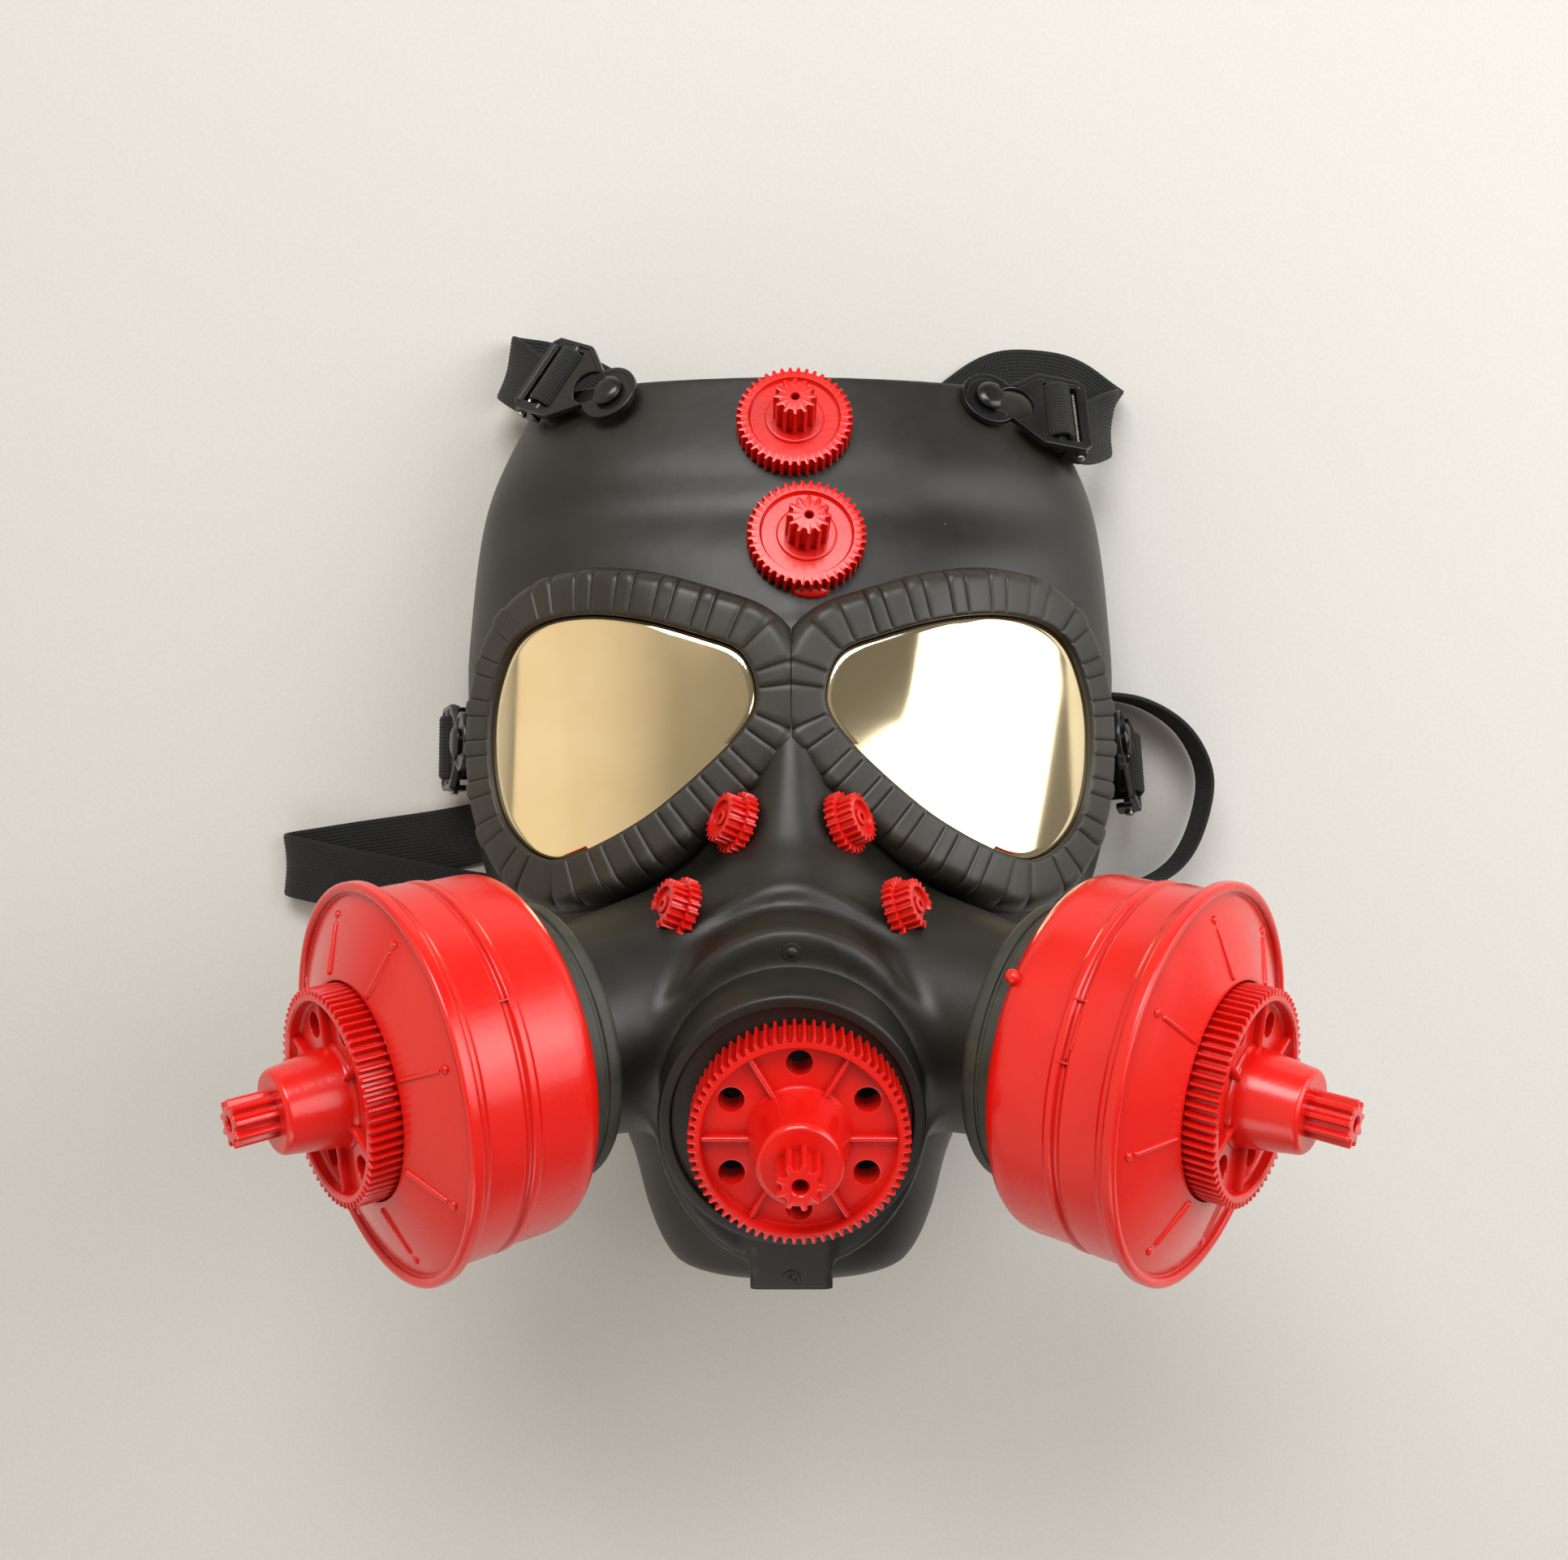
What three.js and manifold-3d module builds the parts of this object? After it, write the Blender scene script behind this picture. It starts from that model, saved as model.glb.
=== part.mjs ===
// A costume mask in the style of a gas mask: a hollow moulded face with a stepped snout,
// two ribbed eye frames with mirror lenses, two drum canisters, nine toothed wheels and
// four buckles with two elastic straps. It lies on its rim with the face up.
// Millimetres. +Z points out of the face, +Y towards the forehead, +X to the viewer's right.

import * as THREE from 'three';
import { mergeVertices } from 'three/addons/utils/BufferGeometryUtils.js';
import Module from 'manifold-3d';

const wasm = await Module();
wasm.setup();

// Driving dimensions of the face
const faceWidth = 195;
const faceHeight = 248;
const faceDepth = 94;
const wall = 3;
const gap = 0.3;
const chinDrop = 135; // from the level of the lower lids down to the chin
const archHeight = 25; // the rim rises over each ear
const archLength = 120;
const archCentre = 5;
const browEdge = faceHeight - chinDrop; // level of the forehead's edge
const creaseDepth = 2.6; // the soft valley across the forehead
const creaseDrop = 38; // under the forehead's edge
const creaseLevel = browEdge - creaseDrop;
const creaseWidth = 9;

// The nose and the snout
const noseRise = 40; // the ridge over the face, at the snout
const noseHalfWidth = 36;
const snoutTilt = 13; // degrees that the snout looks down
const snoutLevel = -77.5;
const snoutRise = 44.5; // the snout's face over the face's depth
const snoutReach = faceDepth + snoutRise;
const capRadius = 30.5;
const capLength = 19;
const collarLength = 18;
const snoutWall = 5;
const snoutWheelShift = 1.6; // the wheel sits a little to the right
const seatRadius = 27.4; // shallow seat round the wheel on the snout
const seatDepth = 1.5;
const ventRadius = 20.5;
const tabWidth = 20;
const tabReach = 51;
const tabThickness = 4;

// The eyes
const lensWidth = faceWidth * 0.3795;
const lensHeight = 64.5;
const lensThickness = 2;
const lensSink = 2; // how far the lens lies under the frame's face
const lensLedge = 2;
const lensBulge = 0.8;
const eyeCentreX = faceWidth * 0.238;
const eyeCentreY = 11.5;
const eyeSunk = 2;
const eyeLevel = faceDepth - eyeSunk; // height of the frames at the nose
const eyeSweep = 0.15; // how fast they fall beside the nose
const eyeCurl = 1.4625 / faceWidth; // and how much faster towards the temples
const eyeCurlStart = faceWidth * 0.154;
const eyePitch = 0.12; // and towards the brow
const frameBand = faceWidth * 0.0538;
const frameFlare = faceWidth * 0.0185;
const frameDepth = 34;

// The canisters and what carries them
const canisterRadius = 43.6;
const canisterLength = 34.5;
const canisterRim = 2.9; // the rolled rim stands out by this
const canisterTurn = 53; // degrees that a canister points outwards
const canisterDip = 8; // and down
const canisterInset = 3.5; // middle of a canister's front, inside the face's side
const canisterX = faceWidth / 2 - canisterInset;
const canisterY = -69;
const canisterRise = 44; // and over the face's depth
const canisterZ = faceDepth + canisterRise;
const faceRise = 5.2; // the canister's face swells to this at the wheel
const faceSink = 1.6; // and lies this far under the rim at the edge
const wheelSeat = 4.4; // the wheel stands in a seat this deep
const canisterRibs = 8;
const ribWidth = 1.6;
const ribHeight = 0.9;
const mountRadius = 34;
const mountLength = 10;
const spigotRadius = 15;
const spigotLength = 7.5;
const neckRadius = 25;
const neckSpread = 34;
const neckReach = 62;

// The toothed wheels
const bigWheel = { teeth: 54, tip: 24.8, root: 23.2, width: 11, rim: 21.8, recess: 3 };
const bigHub = { base: 12.2, top: 9.4, height: 12 };
const bigPinion = { teeth: 9, tip: 5.4, root: 3.9, height: 9.5, bore: 1.75 };
const bigHoles = { count: 6, radius: 2.9, circle: 17.4 };
const bigRibs = { count: 6, width: 1.3, height: 2 };
const browWheel = { teeth: 34, tip: 16, root: 14.5, width: 5.6, rim: 12.4, recess: 1.2 };
const browPinion = { teeth: 12, tip: 5.9, root: 4.4, height: 9, bore: 1.1 };
// How far each brow wheel lies under the forehead's edge, and to the right of the middle.
const browWheels = { upper: { drop: 15.9, shift: 1 }, lower: { drop: 49.2, shift: 4 } };
const noseWheel = { teeth: 17, tip: 8.3, root: 7.2, width: 2.8 };
const noseTop = { teeth: 13, tip: 6.6, root: 5.6, width: 4, recess: 1, rim: 4.2, bore: 0.9 };
// Places of the nose wheels: shares of the nose's half width and of the chin's drop.
const noseWheels = { upper: { aside: 0.347, level: -0.0852 }, lower: { aside: 0.728, level: -0.2407 } };
const noseWheelTurn = 62; // degrees from the face's own direction
const noseWheelLift = 20;

// The buckles and straps
const pegRadius = 3;
const pegHead = 4.8;
const pegHeadThickness = 1.8;
const browPegDrop = 6;
const browPegY = browEdge - browPegDrop;
const sidePegY = 11;
const sidePegZ = faceDepth * 0.372;
const plateThickness = 2;
const plateLift = 1.2;
const plateEnd = 8.6; // radius of the round end
const plateHalfWidth = 12.6;
const plateShoulder = 15;
const plateLength = 30.5;
const plateFlange = 5;
const flangeThickness = 1.6;
const keyRadius = 5.4;
const keyOffset = 8;
const barRadius = 2.1;
const barPlace = 21.5;
const pinRadius = 1.3;
const pinPlace = 28; // from the peg
const strapWidth = 18.5;
const strapThickness = 1.6;
// Each brow plate's peg lies this share of half the face's width from the middle; turn and
// droop are in degrees.
const browPlates = {
  left: { peg: 0.5077, turn: 156, droop: 33 },
  right: { peg: 0.5744, turn: -7, droop: 15 },
};
const sidePlates = { left: { lean: 4 }, right: { lean: 20 } }; // degrees towards the chin
const sideFlare = 5.5; // the wide end of a side plate stands off the face

// Rows across the face from the chin up. up is a share of the face's height, half of half its
// width; middle, crest and keel are heights as shares of its depth. square is the exponent of
// the section's curve and fall how much of its height is gone at the side.
const faceRows = [
  { up: 0.0, half: 0.2, middle: 0.66, crest: 0.09, keel: 0.1, square: 2.2, fall: 0 },
  { up: 0.025, half: 0.33, middle: 0.62, crest: 0.24, keel: 0.24, square: 2.3, fall: 0 },
  { up: 0.07, half: 0.4, middle: 0.54, crest: 0.38, keel: 0.38, square: 2.3, fall: 0 },
  { up: 0.13, half: 0.46, middle: 0.4, crest: 0.53, keel: 0.43, square: 2.3, fall: 0.02 },
  { up: 0.21, half: 0.58, middle: 0.25, crest: 0.69, keel: 0.45, square: 2.3, fall: 0.06 },
  { up: 0.3, half: 0.75, middle: 0.12, crest: 0.82, keel: 0.4, square: 2.4, fall: 0.12 },
  { up: 0.39, half: 0.9, middle: 0.04, crest: 0.9, keel: 0.3, square: 2.5, fall: 0.18 },
  { up: 0.48, half: 0.975, middle: 0, crest: 0.92, keel: 0.2, square: 2.7, fall: 0.22 },
  { up: 0.57, half: 1, middle: 0, crest: 0.9, keel: 0.2, square: 2.8, fall: 0.22 },
  { up: 0.66, half: 1, middle: 0, crest: 0.85, keel: 0.2, square: 2.9, fall: 0.22 },
  { up: 0.74, half: 0.985, middle: 0, crest: 0.8, keel: 0.2, square: 3, fall: 0.2 },
  { up: 0.81, half: 0.965, middle: 0, crest: 0.745, keel: 0.2, square: 3.1, fall: 0.17 },
  { up: 0.848, half: 0.95, middle: 0, crest: 0.715, keel: 0.2, square: 3.1, fall: 0.16 },
  { up: 0.885, half: 0.925, middle: 0, crest: 0.68, keel: 0.2, square: 3.1, fall: 0.15 },
  { up: 1.0, half: 0.8, middle: 0, crest: 0.545, keel: 0.2, square: 2.8, fall: 0.14 },
];

// Rows down the nose's ridge: level in shares of the chin's drop, half of its full half
// width, rise of its full rise over the face's depth less noseSunk.
const noseSunk = 18;
const noseRows = [
  { level: 0.28, half: 0.1, rise: 0.05 },
  { level: 0.16, half: 0.27, rise: 0.36 },
  { level: 0.02, half: 0.42, rise: 0.57 },
  { level: -0.1, half: 0.62, rise: 0.76 },
  { level: -0.2, half: 0.88, rise: 0.97 },
  { level: -0.33, half: 1, rise: 0.98 },
];

// Steps of the snout behind its cap: half its width, and its reach up and down, in shares of
// the cap's radius.
const snoutSteps = [
  { from: 0, side: 1, top: 1, bottom: 1 },
  { from: capLength, side: 1.1, top: 1.295, bottom: 1.525 },
  { from: capLength + collarLength, side: 1.18, top: 1.443, bottom: 1.639 },
];
const snoutDepth = 70;

// The lens's outline, anticlockwise from the temple, in shares of half its size.
const lensOutline = [
  { x: -1.0, y: 0.04 },
  { x: -0.96, y: -0.4 },
  { x: -0.83, y: -0.75 },
  { x: -0.58, y: -0.97 },
  { x: -0.3, y: -0.96 },
  { x: 0.24, y: -0.64 },
  { x: 0.71, y: -0.19 },
  { x: 0.96, y: 0.14 },
  { x: 1.0, y: 0.39 },
  { x: 0.89, y: 0.67 },
  { x: 0.6, y: 0.81 },
  { x: 0.19, y: 0.94 },
  { x: -0.24, y: 1.0 },
  { x: -0.6, y: 0.95 },
  { x: -0.83, y: 0.77 },
  { x: -0.96, y: 0.42 },
];

const colours = {
  black: { color: 0x23231f, roughness: 0.55, metalness: 0 },
  bezel: { color: 0x2b2b28, roughness: 0.5, metalness: 0 },
  red: { color: 0xd8281f, roughness: 0.3, metalness: 0 },
  mirror: { color: 0xd9c08a, roughness: 0.06, metalness: 0.9 },
  webbing: { color: 0x1b1c1a, roughness: 0.9, metalness: 0 },
  steel: { color: 0xb9b6ac, roughness: 0.3, metalness: 1 },
};

// Counts of facets
const acrossPoints = 12;
const insidePoints = 10;
const underPoints = 3;
const roundSides = 18;
const snoutSides = 18;
const insideSides = 12;
const eyePoints = 21;

const flat = (x, y) => new THREE.Vector2(x, y);
const at = (x, y, z) => new THREE.Vector3(x, y, z);
const { degToRad } = THREE.MathUtils;
const outward = at(0, 0, 1);

// Geometry to a solid, turned right side out.
function solidOf(geometry) {
  const bare = geometry.index ? geometry.toNonIndexed() : geometry.clone();
  for (const name of Object.keys(bare.attributes)) {
    if (name !== 'position') bare.deleteAttribute(name);
  }
  const merged = mergeVertices(bare, 1e-4);
  const corners = merged.index.array;
  const kept = [];
  for (let i = 0; i < corners.length; i += 3) {
    const [a, b, c] = corners.slice(i, i + 3);
    if (a !== b && b !== c && a !== c) kept.push(a, b, c);
  }
  const build = () => new wasm.Manifold(new wasm.Mesh({
    numProp: 3,
    vertProperties: new Float32Array(merged.attributes.position.array),
    triVerts: new Uint32Array(kept),
  }));
  const made = build();
  if (made.volume() >= 0) return made;
  kept.reverse();
  return build();
}

function geometryOf(solid) {
  const { numProp, vertProperties, triVerts } = solid.getMesh();
  const count = vertProperties.length / numProp;
  const places = new Float32Array(count * 3);
  for (let i = 0; i < count; i++) {
    for (let k = 0; k < 3; k++) places[i * 3 + k] = vertProperties[i * numProp + k];
  }
  const geometry = new THREE.BufferGeometry();
  geometry.setAttribute('position', new THREE.BufferAttribute(places, 3));
  geometry.setIndex(new THREE.BufferAttribute(new Uint32Array(triVerts), 1));
  geometry.computeVertexNormals();
  return geometry;
}

const moved = (solid, matrix) => solid.transform(matrix.elements);
const joined = (solids) => solids.reduce((a, b) => a.add(b));

// A closed skin through rings of points, its two ends closed by fans.
function loft(rings, around = false) {
  const places = [];
  const triangle = (a, b, c) => places.push(...a, ...b, ...c);
  const count = rings[0].length;
  const last = around ? rings.length : rings.length - 1;
  for (let i = 0; i < last; i++) {
    const here = rings[i];
    const next = rings[(i + 1) % rings.length];
    for (let j = 0; j < count; j++) {
      const k = (j + 1) % count;
      triangle(here[j], here[k], next[k]);
      triangle(here[j], next[k], next[j]);
    }
  }
  if (!around) {
    for (const [ring, turned] of [[rings[0], true], [rings.at(-1), false]]) {
      const middle = ring.reduce((sum, p) => sum.add(p), at(0, 0, 0)).divideScalar(count);
      for (let j = 0; j < count; j++) {
        const pair = [ring[j], ring[(j + 1) % count]];
        if (turned) pair.reverse();
        triangle(middle, ...pair);
      }
    }
  }
  const geometry = new THREE.BufferGeometry();
  geometry.setAttribute('position', new THREE.Float32BufferAttribute(places, 3));
  return solidOf(geometry);
}

// A profile of radius and height turned round +Z.
function turned(profile, sides = roundSides) {
  const points = profile.map(([radius, height]) => flat(radius, height));
  return solidOf(new THREE.LatheGeometry(points, sides).rotateX(Math.PI / 2));
}

function extruded(shape, height, curveSegments = 12) {
  const settings = { depth: height, bevelEnabled: false, curveSegments };
  return solidOf(new THREE.ExtrudeGeometry(shape, settings));
}

function box(width, length, height, x = 0, y = 0, z = 0) {
  return solidOf(new THREE.BoxGeometry(width, length, height).translate(x, y, z));
}

// A rod along +Z from low to high.
function rod(radius, low, high, sides = 16) {
  return turned([[0, low], [radius, low], [radius, high], [0, high]], sides);
}

// A frame whose +X runs along a direction and whose +Z lies as near as it can to a normal.
function laid(place, along, normal) {
  const x = along.clone().normalize();
  const z = normal.clone().addScaledVector(x, -normal.dot(x)).normalize();
  return new THREE.Matrix4().makeBasis(x, z.clone().cross(x), z).setPosition(place);
}

// A frame whose +Z is aimed along a direction and whose +X lies as near as it can to a hint.
function aimed(place, direction, hint) {
  const z = direction.clone().normalize();
  const x = hint.clone().addScaledVector(z, -hint.dot(z)).normalize();
  const y = z.clone().cross(x);
  return new THREE.Matrix4().makeBasis(x, y, z).setPosition(place);
}

// One section of the face: half width, middle height, rise over it and keel under it.
function faceSection(row, grow, beyond, across) {
  const y = -chinDrop + row.up * faceHeight + beyond;
  const half = row.half * faceWidth / 2 + grow;
  const middle = row.middle * faceDepth;
  const dent = creaseDepth * Math.exp(-(((y - creaseLevel) / creaseWidth) ** 2));
  const crest = row.crest * faceDepth + grow;
  const keel = row.keel * faceDepth + grow;
  const power = 2 / row.square;
  const ring = [];
  for (let i = 0; i <= across; i++) {
    const angle = Math.PI * i / across;
    const share = Math.sign(Math.cos(angle)) * Math.abs(Math.cos(angle)) ** power;
    const height = crest * Math.sin(angle) ** power * (1 - row.fall * Math.abs(share) ** 1.2);
    ring.push(at(half * share, y, middle + Math.max(height - dent * (1 - share ** 4), 0)));
  }
  for (let i = 1; i < underPoints; i++) {
    const angle = Math.PI * (1 + i / underPoints);
    ring.push(at(half * Math.cos(angle), y, middle + keel * Math.sin(angle)));
  }
  return ring;
}

// The bowl of the face; the hollow inside it takes every second row.
function bowl(grow) {
  const inside = grow < 0;
  const across = inside ? insidePoints : acrossPoints;
  const last = faceRows.length - 1;
  const rows = faceRows.filter((_, i) => !inside || i % 2 === 0 || i === last);
  const rings = rows.map((row) => {
    if (row === faceRows[0]) return faceSection(row, grow, -grow, across);
    if (row === faceRows[last]) return faceSection(row, grow, Math.abs(grow) * 3, across);
    return faceSection(row, grow, 0, across);
  });
  return loft(rings);
}

function noseRidge(grow) {
  const floor = faceDepth - noseSunk - noseRise;
  const rings = noseRows.map(({ level, half, rise }) => {
    const ring = [];
    const reach = noseSunk + noseRise * rise + grow;
    for (let i = 0; i <= insidePoints; i++) {
      const angle = Math.PI * i / insidePoints;
      const x = Math.max(half * noseHalfWidth + grow, 1) * Math.cos(angle);
      ring.push(at(x, level * chinDrop, floor + noseSunk + reach * Math.sin(angle) ** 0.92));
    }
    return [...ring, at(0, level * chinDrop, floor)];
  });
  return loft(rings);
}

// The snout's own frame looks along its axis, with +Y up its face.
const snoutAxis = at(0, -Math.sin(degToRad(snoutTilt)), Math.cos(degToRad(snoutTilt)));
const snoutFrame = aimed(at(0, snoutLevel, snoutReach), snoutAxis, at(1, 0, 0));

function snoutRing({ side, top, bottom }, depth, grow) {
  const sides = grow < -1.5 ? insideSides : snoutSides;
  return Array.from({ length: sides }, (_, i) => {
    const angle = 2 * Math.PI * i / sides;
    const rise = Math.sin(angle);
    const reach = (rise > 0 ? top : bottom) * capRadius + grow;
    const power = rise < 0 && bottom > top ? 0.86 : 1;
    const lift = Math.sign(rise) * reach * Math.abs(rise) ** power;
    return at((side * capRadius + grow) * Math.cos(angle), lift, -depth);
  });
}

function snout(grow, front) {
  const steps = snoutSteps.map((step, i) => {
    const start = step.from + (i === 0 ? front : -grow);
    const edge = i === 0 || grow < 0 ? 0 : 1.2;
    const rings = [snoutRing(step, start + edge, grow), snoutRing(step, snoutDepth, grow)];
    if (edge) rings.unshift(snoutRing(step, start, grow - edge));
    return loft(rings);
  });
  return moved(joined(steps), snoutFrame);
}

function chinTab(grow) {
  const length = tabReach - capRadius + 4;
  const tab = box(
    tabWidth + 2 * grow,
    length + 2 * grow,
    tabThickness + capRadius / 2 + grow,
    0,
    -tabReach + length / 2,
    -capLength + tabThickness / 2 - capRadius / 4 + grow / 2,
  );
  return moved(tab, snoutFrame);
}

// A canister's frame: the middle of its front, +Z out along its axis. side is -1 or 1.
function canisterFrame(side) {
  const turn = degToRad(canisterTurn);
  const dip = degToRad(canisterDip);
  const axis = at(side * Math.sin(turn) * Math.cos(dip), -Math.sin(dip), Math.cos(turn) * Math.cos(dip));
  return aimed(at(side * canisterX, canisterY, canisterZ), axis, at(0, 1, 0));
}

const seatOfNeck = canisterLength + gap + mountLength + gap;

function neck(side, grow, front) {
  const profile = [
    [0, -seatOfNeck - neckReach],
    [neckSpread + grow, -seatOfNeck - neckReach],
    [neckRadius + grow, -seatOfNeck - front],
    [0, -seatOfNeck - front],
  ];
  return moved(turned(profile, grow < 0 ? insideSides : snoutSides), canisterFrame(side));
}

function faceSolid(grow, front) {
  const necks = [-1, 1].map((side) => neck(side, grow, front));
  return joined([bowl(grow), noseRidge(grow), snout(grow, front), ...necks]);
}

// The face of the frames and lenses over the (x, y) plane.
function eyeHeight(x, y) {
  const curled = Math.max(Math.abs(x) - eyeCurlStart, 0);
  return eyeLevel - eyePitch * (y - eyeCentreY) - eyeSweep * Math.abs(x) - eyeCurl * curled ** 2;
}

// The lens's outline and its outward direction at each point.
function eyeOutline(side) {
  const points = lensOutline.map(({ x, y }) => {
    return at(x * lensWidth / 2 - eyeCentreX, y * lensHeight / 2 + eyeCentreY, 0);
  });
  const curve = new THREE.CatmullRomCurve3(points, true, 'centripetal');
  return Array.from({ length: eyePoints }, (_, i) => {
    const place = curve.getPointAt(i / eyePoints);
    const along = curve.getTangentAt(i / eyePoints);
    return { place: flat(-side * place.x, place.y), out: flat(-side * along.y, -along.x) };
  });
}

// A ring round the lens, offset along the surface and then off it.
function eyeRing(side, offset, height) {
  return eyeOutline(side).map(({ place, out }) => {
    const over = (reach) => {
      const p = place.clone().addScaledVector(out, reach);
      return at(p.x, p.y, eyeHeight(p.x, p.y));
    };
    const away = over(1).sub(over(0)).normalize();
    const along = at(-out.y, out.x, 0);
    along.z = eyeHeight(place.x + along.x, place.y + along.y) - eyeHeight(place.x, place.y);
    const normal = away.clone().cross(along).normalize();
    return over(0).addScaledVector(away, offset).addScaledVector(normal, height);
  });
}

function eyeHole(side) {
  const rim = eyeRing(side, -lensLedge, 0);
  const lifted = (z) => rim.map((p) => at(p.x, p.y, z));
  return loft([lifted(faceDepth * 0.1), lifted(faceDepth * 1.6)]);
}

// The frames of the four small wheels beside the nose.
function noseWheelFrame({ aside, level }, side) {
  const turn = degToRad(noseWheelTurn);
  const lift = degToRad(noseWheelLift);
  const axis = at(side * Math.sin(turn) * Math.cos(lift), Math.sin(lift), Math.cos(turn) * Math.cos(lift));
  const seat = meet(skinMesh, at(side * aside * noseHalfWidth, level * chinDrop, 0), outward);
  return aimed(seat, axis, at(0, 1, 0));
}

function eyeFrame(side, shellSkin) {
  const seat = -lensSink - lensThickness - gap;
  const section = [
    [-lensLedge + 0.4, -frameDepth],
    [-lensLedge + 0.4, seat],
    [gap, seat],
    [gap, 0],
    [frameBand - 1.5, 0],
    [frameBand + frameFlare * 0.4, -1.6],
    [frameBand + frameFlare, -5.5],
    [frameBand + frameFlare, -frameDepth],
  ];
  const columns = section.map(([offset, height]) => eyeRing(side, offset, height));
  const ring = loft(columns, true);
  const half = box(faceWidth, faceHeight * 2, faceDepth * 4, side * (faceWidth / 2 + gap / 2));
  const room = rod(noseWheel.tip + gap, -noseWheel.width, noseWheel.width + noseTop.width + gap, 16);
  return ring.intersect(half)
    .subtract(shellSkin)
    .subtract(moved(room, noseWheelFrame(noseWheels.upper, side)));
}

function lens(side) {
  const shares = [0.5, 1];
  const middle = at(side * eyeCentreX, eyeCentreY, eyeHeight(side * eyeCentreX, eyeCentreY) - lensSink);
  const layer = (share, depth) => eyeRing(side, 0, -lensSink - depth).map((p) => {
    const hub = middle.clone().setZ(middle.z - depth + lensBulge);
    return hub.lerp(p, share).add(at(0, 0, lensBulge * share * (1 - share)));
  });
  const rings = [
    ...shares.map((share) => layer(share, lensThickness)),
    ...shares.toReversed().map((share) => layer(share, 0)),
  ];
  return loft(rings);
}

function shell() {
  const outer = faceSolid(0, 0).add(chinTab(0));
  const inner = faceSolid(-wall, wall).subtract(frontPlug());
  const ear = new THREE.Shape().absellipse(0, 0, archLength / 2, archHeight, 0, Math.PI * 2);
  const arch = extruded(ear, faceWidth * 2, 8)
    .rotate([90, 0, 90])
    .translate([-faceWidth, archCentre, 0]);
  const under = box(faceWidth * 2, faceHeight * 3, faceDepth, 0, 0, -faceDepth / 2);
  const seat = moved(rod(seatRadius, -seatDepth, 5, 24), snoutFrame);
  const vent = moved(rod(ventRadius, -snoutWall * 2, 5, snoutSides), snoutFrame);
  const necks = [-1, 1].map((side) => moved(
    rod(neckRadius - wall, -seatOfNeck - neckReach, 0, insideSides), canisterFrame(side),
  ).intersect(neck(side, gap, -1)));
  const cuts = joined([inner, arch, under, seat, vent, eyeHole(-1), eyeHole(1), ...necks, ...pegHoles()]);
  const parts = outer.subtract(cuts).decompose();
  return parts.sort((a, b) => b.volume() - a.volume())[0];
}

// Keeps the hollow back from the snout's thicker front.
function frontPlug() {
  return moved(rod(capRadius * 2, -snoutWall, snoutWall * 2), snoutFrame);
}

// The toothed outline: one tip and one root to a tooth.
function toothed({ teeth, tip, root }) {
  const shape = new THREE.Shape();
  const steps = teeth * 2;
  for (let i = 0; i < steps; i++) {
    const angle = 2 * Math.PI * i / steps;
    const radius = i % 2 ? root : tip;
    const point = [radius * Math.cos(angle), radius * Math.sin(angle)];
    if (i === 0) shape.moveTo(...point);
    else shape.lineTo(...point);
  }
  return shape;
}

// The wheel with a long hub and a pinion, its back at height 0.
function hubWheel() {
  const face = bigWheel.width - bigWheel.recess;
  const top = bigWheel.width + bigHub.height;
  const inner = rod(bigWheel.rim, face, bigWheel.width + 1, 20);
  const holes = Array.from({ length: bigHoles.count }, (_, i) => {
    const angle = 2 * Math.PI * (i + 0.5) / bigHoles.count;
    return rod(bigHoles.radius, -1, face + 1, 6)
      .translate([bigHoles.circle * Math.cos(angle), bigHoles.circle * Math.sin(angle), 0]);
  });
  const hub = turned([
    [0, face - 1],
    [bigHub.base, face - 1],
    [bigHub.base, face],
    [bigHub.top, top],
    [0, top],
  ], 16);
  const wheel = extruded(toothed(bigWheel), bigWheel.width).subtract(joined([inner, ...holes]));
  const pinion = extruded(toothed(bigPinion), top + bigPinion.height - face).translate([0, 0, face]);
  const ribStart = bigHub.base * 0.8;
  const ribEnd = bigWheel.rim + 0.5;
  const rib = box(
    ribEnd - ribStart, bigRibs.width, bigRibs.height,
    (ribEnd + ribStart) / 2, 0, face + bigRibs.height / 2,
  );
  const ribs = Array.from({ length: bigRibs.count }, (_, i) => {
    return rib.rotate([0, 0, 360 * i / bigRibs.count]);
  });
  const bore = rod(bigPinion.bore, top - bigHub.height / 2, top + bigPinion.height + 1, 6);
  return joined([wheel, hub, pinion, ...ribs]).subtract(bore);
}

function plainWheel() {
  const recess = rod(browWheel.rim, browWheel.width - browWheel.recess, browWheel.width + 1, 16);
  const wheel = extruded(toothed(browWheel), browWheel.width).subtract(recess);
  const top = browWheel.width + browPinion.height;
  const pinion = extruded(toothed(browPinion), top - 1).translate([0, 0, 1]);
  const bore = rod(browPinion.bore, browWheel.width, top + 1, 6);
  return wheel.add(pinion).subtract(bore);
}

function doubleWheel() {
  const top = noseWheel.width + noseTop.width;
  const recess = rod(noseTop.rim, top - noseTop.recess, top + 1, 10);
  const bore = rod(noseTop.bore, noseWheel.width, top + 1, 5);
  return extruded(toothed(noseWheel), noseWheel.width)
    .add(extruded(toothed(noseTop), top))
    .subtract(recess)
    .subtract(bore);
}

// Where a line along a direction first meets the face.
const caster = new THREE.Raycaster();
function firstHit(mesh, place, direction) {
  const far = place.clone().addScaledVector(direction, faceWidth);
  caster.set(far, direction.clone().negate());
  const [hit] = caster.intersectObject(mesh);
  return hit ? hit.point : null;
}

function meet(mesh, place, direction) {
  const point = firstHit(mesh, place, direction);
  if (!point) throw new Error('the line misses the face');
  return point;
}

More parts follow.
